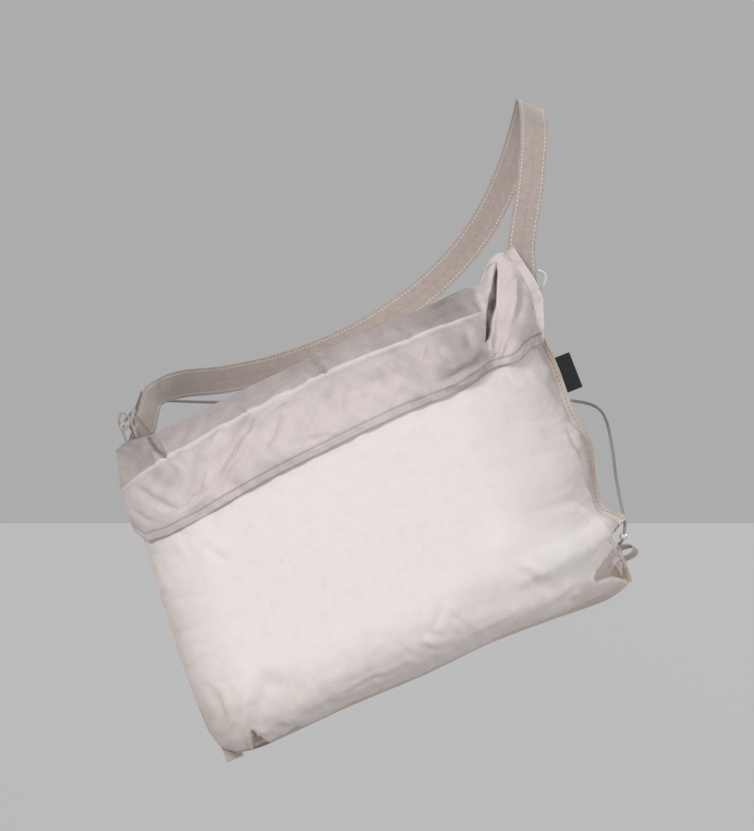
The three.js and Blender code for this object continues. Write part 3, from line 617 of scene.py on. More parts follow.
def tube(name: str, route: Array, diameter: float, sides: int) -> Piece:
    """A round cord along a route, from an unrolled grid that is joined and closed.

    Args:
        name: the piece's name.
        route: the points that it follows, in millimetres.
        diameter: its diameter in millimetres.
        sides: how many faces go round it.

    Returns:
        The piece, closed, with its cut in its UV map in metres.
    """
    way = unit(np.gradient(route, axis=0))
    side = np.zeros_like(way)
    start = np.cross(way[0], (0.3, 0.5, 0.81))
    side[0] = start / np.linalg.norm(start)
    for i in range(1, len(way)):
        carried = side[i - 1] - way[i] * np.dot(side[i - 1], way[i])
        side[i] = carried / np.linalg.norm(carried)
    other = np.cross(way, side)
    turn = np.linspace(0, 2 * math.pi, sides + 1)
    ring = np.cos(turn)[None, :, None] * side[:, None, :] + np.sin(turn)[None, :, None] * other[:, None, :]
    points = route[:, None, :] + ring * diameter / 2
    piece = Sheet(turn * diameter / 2, lengths_along(route), points).make(name, 0)
    edit_all(
        piece,
        lambda: bpy.ops.mesh.remove_doubles(threshold=1e-6),
        lambda: bpy.ops.mesh.fill_holes(sides=0),
        lambda: bpy.ops.mesh.normals_make_consistent(inside=False),
    )
    smooth_shade(piece, 60)
    return piece


@dataclass(frozen=True)
class Stitch:
    """One kind of stitch, modelled once and copied along its rows.

    Attributes:
        length, width, height: its size in millimetres.
        pitch: from one stitch to the next, in millimetres.
        slant: how far it turns from its row, in degrees.
        sink: how far its middle lies below the cloth's face, in millimetres.
    """

    length: float = 2.3
    width: float = 0.55
    height: float = 0.42
    pitch: float = 3.0
    slant: float = 6.0
    sink: float = 0.02

    def template(self) -> tuple[Array, list[list[int]]]:
        """The points and faces of one stitch along X, lying on Z = 0, in millimetres."""
        deselect()
        bpy.ops.mesh.primitive_uv_sphere_add(segments=6, ring_count=5, radius=0.5)
        shape = bpy.context.object
        shape.rotation_euler = (0, math.pi / 2, math.radians(self.slant))
        settle_place(shape)
        edit_all(shape, lambda: bpy.ops.transform.resize(value=(self.length, self.width, self.height)))
        points = np.array([tuple(point.co) for point in shape.data.vertices])
        faces = [list(face.vertices) for face in shape.data.polygons]
        bpy.data.meshes.remove(shape.data)
        return points, faces

    def rows(
        self, name: str, lines: Sequence[tuple[Array, Array]]
    ) -> Piece:
        """Rows of stitches as one joined mesh.

        Args:
            name: the piece's name.
            lines: for each row the points that it follows and the way that the cloth faces there.

        Returns:
            The piece.
        """
        points, faces = self.template()
        all_points, all_faces = [], []
        for route, facing in lines:
            along = lengths_along(route)
            places = np.arange(self.pitch / 2, along[-1] - self.pitch / 3, self.pitch)
            centre = rows_at(places, along, route)
            up = unit(rows_at(places, along, facing))
            way = unit(rows_at(places + 0.5, along, route) - rows_at(places - 0.5, along, route))
            side = unit(np.cross(up, way))
            up = np.cross(way, side)
            for i in range(len(places)):
                first = sum(len(part) for part in all_points)
                turned = points @ np.stack([way[i], side[i], up[i]])
                all_points.append(turned + centre[i] - up[i] * self.sink)
                all_faces.extend([[index + first for index in face] for face in faces])
        mesh = bpy.data.meshes.new(name)
        mesh.from_pydata((np.concatenate(all_points) * MM).tolist(), [], all_faces)
        piece = bpy.data.objects.new(name, mesh)
        bpy.context.collection.objects.link(piece)
        face_out(piece)
        smooth_shade(piece, 80)
        return piece


# Finishes

MATHS, RANGE, MIX = "ShaderNodeMath", "ShaderNodeMapRange", "ShaderNodeMix"
NOISE, SPLIT = "ShaderNodeTexNoise", "ShaderNodeSeparateXYZ"


def linear(hex_colour: str) -> tuple[float, float, float, float]:
    """An sRGB hex colour as the linear colour that a shader takes."""
    parts = [int(hex_colour[i : i + 2], 16) / 255 for i in (0, 2, 4)]
    bent = [x / 12.92 if x <= 0.04045 else ((x + 0.055) / 1.055) ** 2.4 for x in parts]
    return (*bent, 1.0)


@dataclass
class Shader:
    """A material's node tree while it is being made."""

    name: str
    material: Material = field(init=False)

    def __post_init__(self) -> None:
        """Makes the material with its Principled shader."""
        self.material = bpy.data.materials.new(self.name)
        self.material.use_nodes = True

    def add(
        self, kind: str, links: dict[object, object] | None = None, result: object = 0, **settings: object
    ) -> Socket:
        """Adds one node with its settings and links.

        Args:
            kind: the node's type.
            links: for each input, by name or number, an output to link or a value to set.
            result: the output that is wanted, by name or number.
            settings: the node's own settings.

        Returns:
            That output.
        """
        node = self.material.node_tree.nodes.new(kind)
        for name, value in settings.items():
            setattr(node, name, value)
        self.link(node, links or {})
        return node.outputs[result]

    def link(self, node: bpy.types.Node, links: dict[object, object]) -> None:
        """Links or sets a node's inputs, by name or number."""
        for name, value in links.items():
            if isinstance(value, Socket):
                self.material.node_tree.links.new(value, node.inputs[name])
            else:
                node.inputs[name].default_value = value

    def finish(self, links: dict[object, object]) -> Material:
        """Links or sets the Principled shader's inputs and gives back the material."""
        self.link(self.material.node_tree.nodes["Principled BSDF"], links)
        return self.material

    def threads(self, axis: Socket, pitch: float) -> Socket:
        """A row of threads: a height from 0 to 1 that repeats every pitch metres along one axis."""
        turns = self.add(MATHS, {0: axis, 1: 2 * math.pi / pitch}, operation="MULTIPLY")
        wave = self.add(MATHS, {0: turns}, operation="SINE")
        return self.add(MATHS, {0: wave, 1: 0.5, 2: 0.5}, operation="MULTIPLY_ADD")

    def cut(self) -> tuple[Socket, Socket, Socket]:
        """The UV map in metres of flat cloth: the pair, its first axis and its second."""
        pair = self.add("ShaderNodeTexCoord", result="UV")
        return pair, self.add(SPLIT, {0: pair}, "X"), self.add(SPLIT, {0: pair}, "Y")


@dataclass(frozen=True)
class RipstopFinish:
    """Ripstop nylon, woven from fine yarn with a thicker thread every couple of millimetres, and coated.

    The eye sees a faint grid of raised threads, a soft sheen and a papery crispness.

    Attributes:
        name: the material's name.
        base: the cloth's colour.
        painted_shade_and_fleck: the colour of its painted shade where it turns under and along its seams,
            partly also where only one layer lets the dark behind show through; its random flecks take it
            too.
        thread: the colour of the thicker threads.
        edge: its colour where a painted highlight lies, along folded edges, ridges and lips.
        grid_mm: from one thick thread to the next.
        grid_show: how strongly the grid shows in the colour.
        roughness: the coated face's roughness.
    """

    name: str
    base: str
    painted_shade_and_fleck: str
    thread: str
    edge: str
    grid_mm: float = 2.2
    grid_show: float = 0.5
    roughness: float = 0.55

    def build(self) -> Material:
        """The material."""
        shader = Shader(self.name)
        pair, across, up = shader.cut()
        pitch = self.grid_mm * MM
        lines = []
        for axis in (across, up):
            phase = shader.add(MATHS, {0: axis, 1: pitch / 2}, operation="PINGPONG")
            lines.append(shader.add(RANGE, {0: phase, 1: 0.0, 2: pitch * 0.17, 3: 1.0, 4: 0.0}))
        grid = shader.add(MATHS, dict(enumerate(lines)), operation="MAXIMUM")
        # Real yarns are about 0.15 mm apart. They are drawn at 0.5 mm, the finest that shows.
        yarns = {0: shader.threads(across, 0.5 * MM), 1: shader.threads(up, 0.5 * MM)}
        yarn = shader.add(MATHS, yarns, operation="MULTIPLY")
        cloudy = shader.add(NOISE, {"Vector": pair, "Scale": 90, "Detail": 3, "Roughness": 0.6})
        fleck = shader.add(NOISE, {"Vector": pair, "Scale": 1500, "Detail": 1, "Roughness": 0.6})
        paper = shader.add(NOISE, {"Vector": pair, "Scale": 420, "Detail": 2, "Roughness": 0.6})
        # Painted light from the mesh's mark: above 0 it mixes in the painted shade colour, below 0 the edge
        # colour as a painted highlight; the cloudy drift is random tone
        tone_and_painted_light = shader.add("ShaderNodeAttribute", result="Fac", attribute_name="tone_and_painted_light")
        drift = shader.add(RANGE, {0: cloudy, 1: 0.3, 2: 0.7, 3: -0.07, 4: 0.07})
        share = shader.add(MATHS, {0: tone_and_painted_light, 1: drift}, operation="ADD", use_clamp=True)
        painted_highlight = shader.add(RANGE, {0: tone_and_painted_light, 1: 0.0, 2: -1.0, 3: 0.0, 4: 1.0})
        lit = shader.add(
            MIX, {0: painted_highlight, 6: linear(self.base), 7: linear(self.edge)}, 2, data_type="RGBA"
        )
        ground = shader.add(MIX, {0: share, 6: lit, 7: linear(self.painted_shade_and_fleck)}, 2, data_type="RGBA")
        # The thick threads stand out less where shade is painted
        seen = shader.add(RANGE, {0: share, 1: 0.0, 2: 1.0, 3: self.grid_show, 4: 0.12 * self.grid_show})
        show = shader.add(MATHS, {0: grid, 1: seen}, operation="MULTIPLY")
        woven = shader.add(MIX, {0: show, 6: ground, 7: linear(self.thread)}, 2, data_type="RGBA")
        specks = shader.add(RANGE, {0: fleck, 1: 0.35, 2: 0.75, 3: 0.0, 4: 0.16})
        colour = shader.add(MIX, {0: specks, 6: woven, 7: linear(self.painted_shade_and_fleck)}, 2, data_type="RGBA")
        smooth, dull = self.roughness - 0.06, self.roughness + 0.08
        rough = shader.add(RANGE, {0: cloudy, 1: 0.3, 2: 0.7, 3: smooth, 4: dull})
        weave = shader.add(MATHS, {0: yarn, 1: 0.25}, operation="MULTIPLY")
        weave = shader.add(MATHS, {0: grid, 1: 0.7, 2: weave}, operation="MULTIPLY_ADD")
        height = shader.add(MATHS, {0: paper, 1: 0.9, 2: weave}, operation="MULTIPLY_ADD")
        relief = {"Height": height, "Distance": 0.16 * MM, "Strength": 0.75}
        return shader.finish({
            "Base Color": colour, "Roughness": rough, "Normal": shader.add("ShaderNodeBump", relief),
            "Specular IOR Level": 0.32, "Sheen Weight": 0.12, "Sheen Roughness": 0.45,
        })


@dataclass(frozen=True)
class WebbingFinish:
    """Woven nylon webbing or tape: ribs across its run and a twill of yarns between them.

    The eye sees fine ribs, a matt face and edges that catch the light.
    """

    name: str
    base: str
    dark: str
    rib_mm: float = 1.5
    relief_mm: float = 0.25
    roughness: float = 0.82
    lengthwise: bool = False

    def build(self) -> Material:
        """The material."""
        shader = Shader(self.name)
        pair, across, along = shader.cut()
        if self.lengthwise:
            across, along = along, across
        zigzag = shader.add(MATHS, {0: across, 1: 1.5 * MM}, operation="PINGPONG")
        slant = shader.add(MATHS, {0: zigzag, 1: 0.9, 2: along}, operation="MULTIPLY_ADD")
        ribs = {0: shader.threads(along, self.rib_mm * MM), 1: shader.threads(slant, self.rib_mm * 0.5 * MM)}
        ribbed = shader.add(MATHS, ribs, operation="MAXIMUM")
        weave = shader.add(MATHS, {0: ribbed, 1: shader.threads(across, 0.7 * MM)}, operation="MULTIPLY")
        cloudy = shader.add(NOISE, {"Vector": pair, "Scale": 160, "Detail": 3, "Roughness": 0.6})
        fuzz = shader.add(NOISE, {"Vector": pair, "Scale": 2200, "Detail": 1, "Roughness": 0.6})
        worn = shader.add(RANGE, {0: cloudy, 1: 0.3, 2: 0.7, 3: 0.1, 4: 0.4})
        wear = shader.add(MATHS, {0: fuzz, 1: 0.35, 2: worn}, operation="MULTIPLY_ADD")
        base, dark = linear(self.base), linear(self.dark)
        ground = shader.add(MIX, {0: wear, 6: base, 7: dark}, 2, data_type="RGBA")
        # Painted shade in the gaps between the yarns, where the weave is low
        gaps = shader.add(RANGE, {0: weave, 1: 0.0, 2: 1.0, 3: 0.45, 4: 0.0})
        height = shader.add(MATHS, {0: fuzz, 1: 0.3, 2: weave}, operation="MULTIPLY_ADD")
        relief = {"Height": height, "Distance": self.relief_mm * MM, "Strength": 0.8}
        return shader.finish({
            "Base Color": shader.add(MIX, {0: gaps, 6: ground, 7: dark}, 2, data_type="RGBA"),
            "Normal": shader.add("ShaderNodeBump", relief), "Roughness": self.roughness,
            "Sheen Weight": 0.2, "Specular IOR Level": 0.3,
        })


@dataclass(frozen=True)
class BraidFinish:
    """A braided cord of fine polyester yarns that cross over each other in two slants round it.

    The eye sees a small diamond pattern and a soft, even light.
    """

    name: str
    base: str
    dark: str
    pitch_mm: float = 1.3

    def build(self) -> Material:
        """The material."""
        shader = Shader(self.name)
        pair, around, along = shader.cut()
        yarns = []
        for slant in (1.2, -1.2):
            lay = shader.add(MATHS, {0: around, 1: slant, 2: along}, operation="MULTIPLY_ADD")
            yarns.append(shader.threads(lay, self.pitch_mm * MM))
        braid = shader.add(MATHS, dict(enumerate(yarns)), operation="MAXIMUM")
        fuzz = shader.add(NOISE, {"Vector": pair, "Scale": 1800, "Detail": 2, "Roughness": 0.6})
        height = shader.add(MATHS, {0: fuzz, 1: 0.5, 2: braid}, operation="MULTIPLY_ADD")
        # Painted shade in the gaps between the yarns, where the braid is low
        gaps = shader.add(RANGE, {0: height, 1: 0.4, 2: 1.4, 3: 0.85, 4: 0.0})
        colours = {0: gaps, 6: linear(self.base), 7: linear(self.dark)}
        relief = {"Height": braid, "Distance": 0.28 * MM, "Strength": 0.9}
        return shader.finish({
            "Base Color": shader.add(MIX, colours, 2, data_type="RGBA"),
            "Normal": shader.add("ShaderNodeBump", relief), "Roughness": 0.7, "Sheen Weight": 0.15,
        })


@dataclass(frozen=True)
class MouldedFinish:
    """Injection-moulded acetal.

    The eye sees an even colour, a satin or polished face and the faintest orange peel.
    """

    name: str
    base: str
    scuffed: str
    roughness: float
    coat: float = 0.0

    def build(self) -> Material:
        """The material."""
        shader = Shader(self.name)
        place = shader.add("ShaderNodeTexCoord", result="Object")
        peel = shader.add(NOISE, {"Vector": place, "Scale": 1400, "Detail": 2, "Roughness": 0.6})
        scuff = shader.add(NOISE, {"Vector": place, "Scale": 260, "Detail": 4, "Roughness": 0.6})
        tone = shader.add(RANGE, {0: scuff, 1: 0.3, 2: 0.75, 3: 0.0, 4: 0.22})
        smooth, dull = self.roughness - 0.05, self.roughness + 0.1
        colours = {0: tone, 6: linear(self.base), 7: linear(self.scuffed)}
        relief = {"Height": peel, "Distance": 0.04 * MM, "Strength": 0.5}
        return shader.finish({
            "Base Color": shader.add(MIX, colours, 2, data_type="RGBA"),
            "Roughness": shader.add(RANGE, {0: scuff, 1: 0.3, 2: 0.7, 3: smooth, 4: dull}),
            "Normal": shader.add("ShaderNodeBump", relief),
            "Coat Weight": self.coat, "Coat Roughness": 0.08,
        })


@dataclass(frozen=True)
class ThreadFinish:
    """Twisted polyester sewing thread, with a soft lustre along its twist."""

    name: str
    base: str
    dark: str

    def build(self) -> Material:
        """The material."""
        shader = Shader(self.name)
        place = shader.add("ShaderNodeTexCoord", result="Object")
        twist = shader.add(NOISE, {"Vector": place, "Scale": 3000, "Detail": 1, "Roughness": 0.6})
        gaps = shader.add(RANGE, {0: twist, 1: 0.3, 2: 0.7, 3: 0.5, 4: 0.0})
        colours = {0: gaps, 6: linear(self.base), 7: linear(self.dark)}
        colour = shader.add(MIX, colours, 2, data_type="RGBA")
        return shader.finish({"Base Color": colour, "Roughness": 0.5, "Sheen Weight": 0.1})


@dataclass(frozen=True)
class Looks:
    """Every finish on the bag, built once."""

    # Off-white coated ripstop nylon: nearly plain, its grid barely seen. Its second colour is a warm painted
    # shade, its fourth a painted highlight
    front: RipstopFinish = RipstopFinish(
        "offwhite_ripstop", "f1e9e7", "a28f7c", "e7dfdb", "fbf7f5", 2.2, 0.28, 0.72
    )
    # The same ripstop nylon dyed taupe: the grid shows as paler lines. Its second colour is a dark painted
    # shade, its fourth a painted highlight
    taupe: RipstopFinish = RipstopFinish(
        "taupe_ripstop", "dacfcd", "463528", "e8e0de", "f3edeb", 2.0, 0.5, 0.6
    )
    # Nylon webbing in a fine twill: matt, with paler worn ribs
    webbing: WebbingFinish = WebbingFinish("taupe_webbing", "d7cbc5", "a19389")
    # Polyester tape with ribs along its run: pale and slightly open
    pale_tape: WebbingFinish = WebbingFinish(
        "pale_ribbed_tape", "f6f1ed", "a89c93", 2.3, 0.7, 0.8, True
    )
    # Woven polyester label with nothing on it: near black
    label: WebbingFinish = WebbingFinish("black_woven_label", "232224", "0e0d0f", 0.6, 0.08, 0.6)
    # Braided cover over rubber: off-white and even
    elastic: BraidFinish = BraidFinish("offwhite_elastic", "f4f1ee", "d6d1cc", 0.9)
    # The same elastic, greyer
    dull_elastic: BraidFinish = BraidFinish("grey_elastic", "c3bcb6", "9a938c", 0.9)
    # Braided polyester cord: grey, with a small diamond pattern
    cord: BraidFinish = BraidFinish("grey_braided_cord", "b1aeab", "827e7a", 1.2)
    # Moulded acetal: satin and grey on the slider and toggle, polished on the bead
    slider: MouldedFinish = MouldedFinish("grey_acetal", "b4afab", "8d8884", 0.38)
    bead: MouldedFinish = MouldedFinish("gloss_bead", "d3cfcc", "8d8884", 0.14, 0.6)
    # Polyester sewing thread in three shades: a soft lustre
    pale_thread: ThreadFinish = ThreadFinish("pale_thread", "efe9e4", "bdb3ab")
    taupe_thread: ThreadFinish = ThreadFinish("taupe_thread", "a3958f", "82756e")
    grey_thread: ThreadFinish = ThreadFinish("grey_thread", "9a938d", "756e69")

    def built(self) -> dict[str, Material]:
        """Each finish's material by its field's name."""
        return {name: getattr(self, name).build() for name in self.__dataclass_fields__}


# The bag's form


@dataclass(frozen=True)
class BagForm:
    """The filled bag's form, with the sizes and tables of the part's source."""

    width: float = 349.0
    height: float = 253.0
    front_depth: float = 72.0
    back_depth: float = 7.0
    tilt: float = math.radians(21.5)
    centre_x: float = -121.4
    centre_z: float = -321.0
    seam_y: float = -80.0
    curve_centre: float = -118.0
    curve_radius: float = 450.0
    cloth: float = 1.2
    clearance: float = 0.3
    flange: float = 6.0
    left_span: float = 46.0
    left_overhang: float = 5.0
    right_span: float = 84.0
    bottom_span: float = 48.0
    bottom_overhang: float = 4.0
    top_span: float = 62.0
    soft_slope: float = 1.45
    crown: float = 0.12
    top_line: tuple = (
        (0, -0.05), (0.033, -0.024), (0.11, -0.03), (0.308, -0.008), (0.486, 0.008),
        (0.706, 0.02), (0.852, 0.03), (0.913, 0.027), (0.956, 0.083), (1, 0.11),
    )
    bottom_line: tuple = (
        (0, 0.012), (0.033, -0.022), (0.085, -0.032), (0.153, -0.028), (0.305, -0.015),
        (0.486, -0.009), (0.65, 0.006), (0.795, 0.002), (0.924, -0.006), (0.964, 0.002), (1, 0.02),
    )
    left_line: tuple = ((0, 0.01), (0.07, 0.022), (0.3, 0.021), (0.5, 0.014), (0.7, 0.003), (1, -0.006))
    right_line: tuple = (
        (0, -0.02), (0.1, -0.018), (0.145, -0.026), (0.17, 0.018), (0.2, 0.005), (0.225, -0.016),
        (0.297, -0.014), (0.4, 0.007), (0.515, -0.002), (0.65, 0), (0.773, -0.008), (0.9, 0), (1, 0),
    )
    folds: tuple = (
        (0.93, 0.25, 0.97, -0.6, 0.035, -0.06),
        (0.8, 0.1, 0.95, -0.55, 0.05, 0.05),
        (0.98, -0.68, 0.78, -0.93, 0.045, -0.15),
        (0.96, -0.66, 0.5, -0.45, 0.06, 0.06),
        (0.7, -0.86, 0.3, -0.72, 0.05, -0.06),
        (-0.88, -0.98, -0.7, -0.72, 0.04, -0.08),
        (-0.76, -0.98, -0.62, -0.8, 0.04, -0.06),
        (-0.95, 0.2, -0.7, 0.35, 0.04, -0.05),
        (0.92, 1.15, 0.735, 0.63, 0.052, -0.2),
        (0.99, 1.05, 0.84, 0.65, 0.045, 0.1),
        (0.5, 0.9, 0.66, 0.66, 0.05, 0.04),
        (-0.38, 0.98, -0.55, 0.55, 0.045, -0.03),
    )

    @property
    def sheet_offset(self) -> float:
        """From the seam's plane to the middle of either panel's cloth."""
        return (self.cloth + self.clearance) / 2

    @property
    def tail_offset(self) -> float:
        """From the seam's plane to the middle of the flap's tail."""
        return self.sheet_offset + self.cloth + self.clearance

    @property
    def strap_offset(self) -> float:
        """From the seam's plane to the middle of webbing that lies on the flap's tail."""
        return self.tail_offset + self.cloth + 2 * self.clearance

    def top(self, along: Array | float) -> Array:
        """The fold's line in the bag's frame."""
        return self.height / 2 + self.height * curve_through(self.top_line, along)

    def bottom(self, along: Array | float) -> Array:
        """The bottom seam's line in the bag's frame."""
        return -self.height / 2 + self.height * curve_through(self.bottom_line, along)

    def to_model(self, u: Array, v: Array, w: Array) -> Array:
        """From the bag's frame to the part's frame, in millimetres."""
        x = self.centre_x + u * math.cos(self.tilt) - v * math.sin(self.tilt)
        z = self.centre_z + u * math.sin(self.tilt) + v * math.cos(self.tilt)
        y = self.seam_y + (x - self.curve_centre) ** 2 / (2 * self.curve_radius) - w
        return np.stack(np.broadcast_arrays(x, y, z), axis=-1)

    @staticmethod
    def roll(inward: Array, flange: float, span: float, overhang: float, slope: float) -> tuple:
        """How high the cloth rolls up from a seam, and how far it leans out over it.

        Args:
            inward: the distance in from the seam's edge.
            flange, span: how wide the flat flange is, and the roll behind it.
            overhang, slope: how far the roll leans out, and the power that softens it.

        Returns:
            The height from 0 to 1 and the lean in millimetres.
        """
        share = np.clip((inward - flange) / span, 0, 1)
        height = np.sqrt(1 - (1 - share) ** 2)
        lean = math.sqrt(overhang * span / 2) * 2 * (1 - share) * height
        return height**slope, lean

    def filled(self, across: Array, up: Array, top_flange: float, leaning: float) -> tuple:
        """A place on the filled bag.

        Args:
            across, up: millimetres in from the left seam and up from the bottom one.
            top_flange: how wide the flat flange under the fold is.
            leaning: how much of the rolls' lean it has, from 0 to 1.

        Returns:
            u and v in the bag's frame, and how full the bag is there from 0 to 1.
        """
        along, share = across / self.width, up / self.height
        left, left_lean = self.roll(across, self.flange, self.left_span, self.left_overhang, 1)
        right, right_lean = self.roll(self.width - across, self.flange, self.right_span, 0, self.soft_slope)
        bottom, bottom_lean = self.roll(up, self.flange, self.bottom_span, self.bottom_overhang, 1)
        top, _ = self.roll(self.height - up, top_flange, self.top_span, 0, 1)
        wide, tall = left * right, bottom * top
        left_out = self.width * curve_through(self.left_line, share)
        right_out = self.width * curve_through(self.right_line, share)
        u = -self.width / 2 - left_out + along * (self.width + left_out + right_out)
        low = self.bottom(along)
        v = low + share * (self.top(along) - low)
        crown = 1 - self.crown * (1 - np.sin(math.pi * np.clip(along, 0, 1)))
        return (
            u + leaning * (right_lean - left_lean) * tall,
            v - leaning * bottom_lean * wide,
            wide * tall * crown,
        )

    def fold_lift(self, u: Array, v: Array) -> Array:
        """How far the main folds lift the cloth.

        Args:
            u, v: the places in the bag's frame.

        Returns:
            The lift in millimetres.
        """
        lift = np.zeros(np.broadcast(u, v).shape)
        half = np.array([self.width / 2, self.height / 2])
        for from_u, from_v, to_u, to_v, width, depth in self.folds:
            gap = run_gap(u, v, np.array([from_u, from_v]) * half, np.array([to_u, to_v]) * half)
            lift += depth * self.front_depth * bump(gap, width * self.height)
        return lift

    def front(self, across: Array, up: Array) -> tuple:
        """The filled front in the bag's frame, shared by the front panel and the flap over it."""
        u, v, fullness = self.filled(across, up, 0, 1)
        lift = self.fold_lift(u, v) * np.sqrt(fullness)
        return u, v, self.sheet_offset + self.front_depth * fullness + lift

    def back(self, across: Array, up: Array) -> tuple:
        """The back panel in the bag's frame, flat at its edges under the flap's tail."""
        u, v, fullness = self.filled(across, up, 20, 0)
        return u, v, -self.sheet_offset - self.back_depth * fullness

    def columns(self, fine: float) -> Array:
        """Places across a panel, fine millimetres apart where it lies flat."""
        return spaced([
            (self.flange, 4, 0),
            (self.flange + self.left_span, round(62 / fine), 1),
            (self.width - self.flange - self.right_span, round(213 / fine), 0),
            (self.width - self.flange, round(100 / fine), -1),
            (self.width, 4, 0),
        ])


FORM = BagForm()


@dataclass
class MainBag:
    """The filled front panel, the back panel, their seam and the folds of the two lower corners."""

    looks: dict[str, Material]
    pitch: float = 1.5
    wall: float = 0.6
    mouth: float = 17.0
    stitch_in: float = 3.2
    wrinkles: Wrinkles = Wrinkles(growth=0.05, pressure=2.0, bending=0.05, seed=0)
    petal_pocket: tuple = (
        (169.9, -91.0), (162.8, -92.4), (154.8, -95.8), (146.5, -100.0), (139.7, -104.8), (137.8, -108.6),
        (140.2, -110.9), (146.2, -111.5), (152.3, -112.2), (153.7, -107.0), (157.7, -105.3), (161.0, -99.9),
        (163.7, -98.5), (167.8, -94.3),
    )
    seam_pocket: tuple = (
        (166.3, -103.3), (161.4, -104.2), (157.4, -106.0), (153.7, -107.4), (152.5, -111.9), (158.5, -115.9),
        (164.8, -121.3), (166.3, -112.8),
    )
    petal_lip: tuple = (
        (176.1, -86.0), (171.4, -89.5), (163.1, -91.6), (154.9, -95.5), (146.3, -99.5), (139.3, -104.6),
        (137.3, -108.8), (140.2, -112.0), (152.2, -113.0), (159.6, -117.2), (164.0, -121.8),
    )
    left_pocket: tuple = (
        (-148.9, -117.7), (-146.9, -124.3), (-140.5, -135.5), (-147.5, -136.5), (-154.3, -134.6),
    )
    creases: tuple = creases_of(
        (160.7, 9.4, 162.2, -30.9, 3.2, -1.7, 3), (162.4, -26.0, 167.7, -69.5, 2.6, -1.6, -2),
        (148.9, -37.2, 172.7, -79.7, 3.6, -1.1, -3), (141.1, -42.4, 168.7, -81.5, 7, 0.3, -3),
        (159.5, -67.1, 122.4, -35.1, 7, 0.4, 4), (153.2, -70.4, 122.0, -53.1, 6, -1.0, 2),
        (168.0, 13.2, 164.7, -12.0, 3.5, 1.2, 2), (167.9, 52.9, 168.2, 26.3, 3.6, -1.4, -2),
        (166.0, 58.7, 167.3, 36.6, 3, 0.9, 0), (178.2, -28.1, 169.2, -55.1, 1.8, -0.9, 0),
        (151.9, 81.6, 152.8, 58.9, 3, -0.8, 1), (135.2, 70.8, 138.9, 52.8, 4, -0.8, -1),
        (154.8, 76.3, 151.8, 47.7, 3.4, 0.8, 1), (-148.8, 53.6, -138.4, 33.7, 3.2, -0.9, 1),
        (-134.2, 36.2, -115.4, 8.1, 3.4, -0.7, -1), (-149.6, 39.0, -145.2, 20.7, 3, 0.6, 0),
        (-166.7, 29.2, -163.7, 3.2, 3, -0.5, 1), (-162.2, -76.9, -161.3, -102.1, 3.0, -1.6, -2),
        (-157.6, -82.0, -158.0, -108.3, 3.4, 1.2, -2), (-167.6, -69.8, -167.2, -89.8, 3, -0.8, 0),
        (-153.2, -96.2, -160.2, -122.4, 3.2, -0.9, 0), (-148.2, -117.2, -155.0, -134.4, 2.0, 1.8, 0),
        (-146.6, -119.4, -142.4, -136.0, 2.0, -1.2, 0), (-140.5, -118.5, -92.3, -139.2, 4.0, -1.2, -2),
        (-145.9, -123.9, -118.3, -142.2, 2.4, -0.8, 1), (-140.1, -134.4, -103.2, -141.5, 2.2, -0.9, -1),
        (26.6, -76.8, 7.5, -95.7, 3.5, -0.6, 2), (5.7, -75.2, 4.4, -99.5, 4.0, -0.7, -2),
        (5.2, -93.2, 17.3, -104.6, 3, -0.8, -2), (27.8, -90.5, 33.3, -105.9, 3, -0.7, 1),
        (20.4, -77.7, 27.8, -90.5, 3.2, 0.5, 1), (31.8, -88.8, 37.9, -102.7, 2.4, 0.8, 0),
        (-7.3, -99.8, 7.9, -115.8, 3, -0.8, 1), (-20.9, -94.5, -13.5, -115.6, 3, -0.7, 1),
        (85.9, -75.3, 101.1, -106.1, 3.4, -1.5, 3), (94.9, -75.6, 111.9, -103.8, 4, 1.1, 2),
        (128.6, -120.3, 98.3, -113.3, 3, -1.0, -2), (122.7, -108.0, 108.6, -112.4, 2.4, -0.9, 0),
        (-84.4, -119.1, -32.1, -116.5, 2.0, -0.6, 1), (-110.4, -122.1, -67.0, -121.0, 1.8, -0.5, -1),
        (-141.8, -96.5, -137.7, -111.4, 3, -0.7, 1), (32.8, -115.6, 75.4, -112.6, 2.2, -0.6, 1),
        (-64.2, -113.9, -7.0, -111.6, 2.2, 0.5, 1),
    )

    def build(self) -> None:
        """Builds and dresses every piece."""
        front, tone_and_painted_light = self.front_sheet()
        piece = front.make("front_panel_cloth", self.wall, tone_and_painted_light=tone_and_painted_light)
        front.flat_size()
        dress(piece, self.looks["front"], Cloth.FRONT.value, "front_panel")
        back = self.back_sheet()
        across, up = np.meshgrid(back.across, back.up)
        rim = np.minimum(np.minimum(across, FORM.width - across), up)
        # Random tone, and painted shade in the crease where the flange turns into the panel
        tone_and_painted_light = 0.02 + 0.05 * noise(across, up, 60, 34) + 0.2 * bump(rim - 6, 1.2)
        piece = back.make("back_panel_cloth", self.wall, Facing.INWARD, tone_and_painted_light)
        back.flat_size()
        dress(piece, self.looks["taupe"], Cloth.TAUPE.value, "back_panel")
        self.seam_stitches(front, back)

    def front_sheet(self) -> tuple[Sheet, Array]:
        """The front panel with its creases, puckers and corner folds, and its painted light."""
        columns = FORM.columns(self.pitch)
        rows = spaced([
            (FORM.flange, 4, 0),
            (FORM.flange + FORM.bottom_span, round(66 / self.pitch), 1),
            (FORM.height - self.mouth, round(182 / self.pitch), 0),
        ])
        sheet, across, up, u, v = self.front_form(columns, rows)
        return sheet.lifted(self.relief(across, up, u, v)), self.front_painted_light(across, up, u, v)

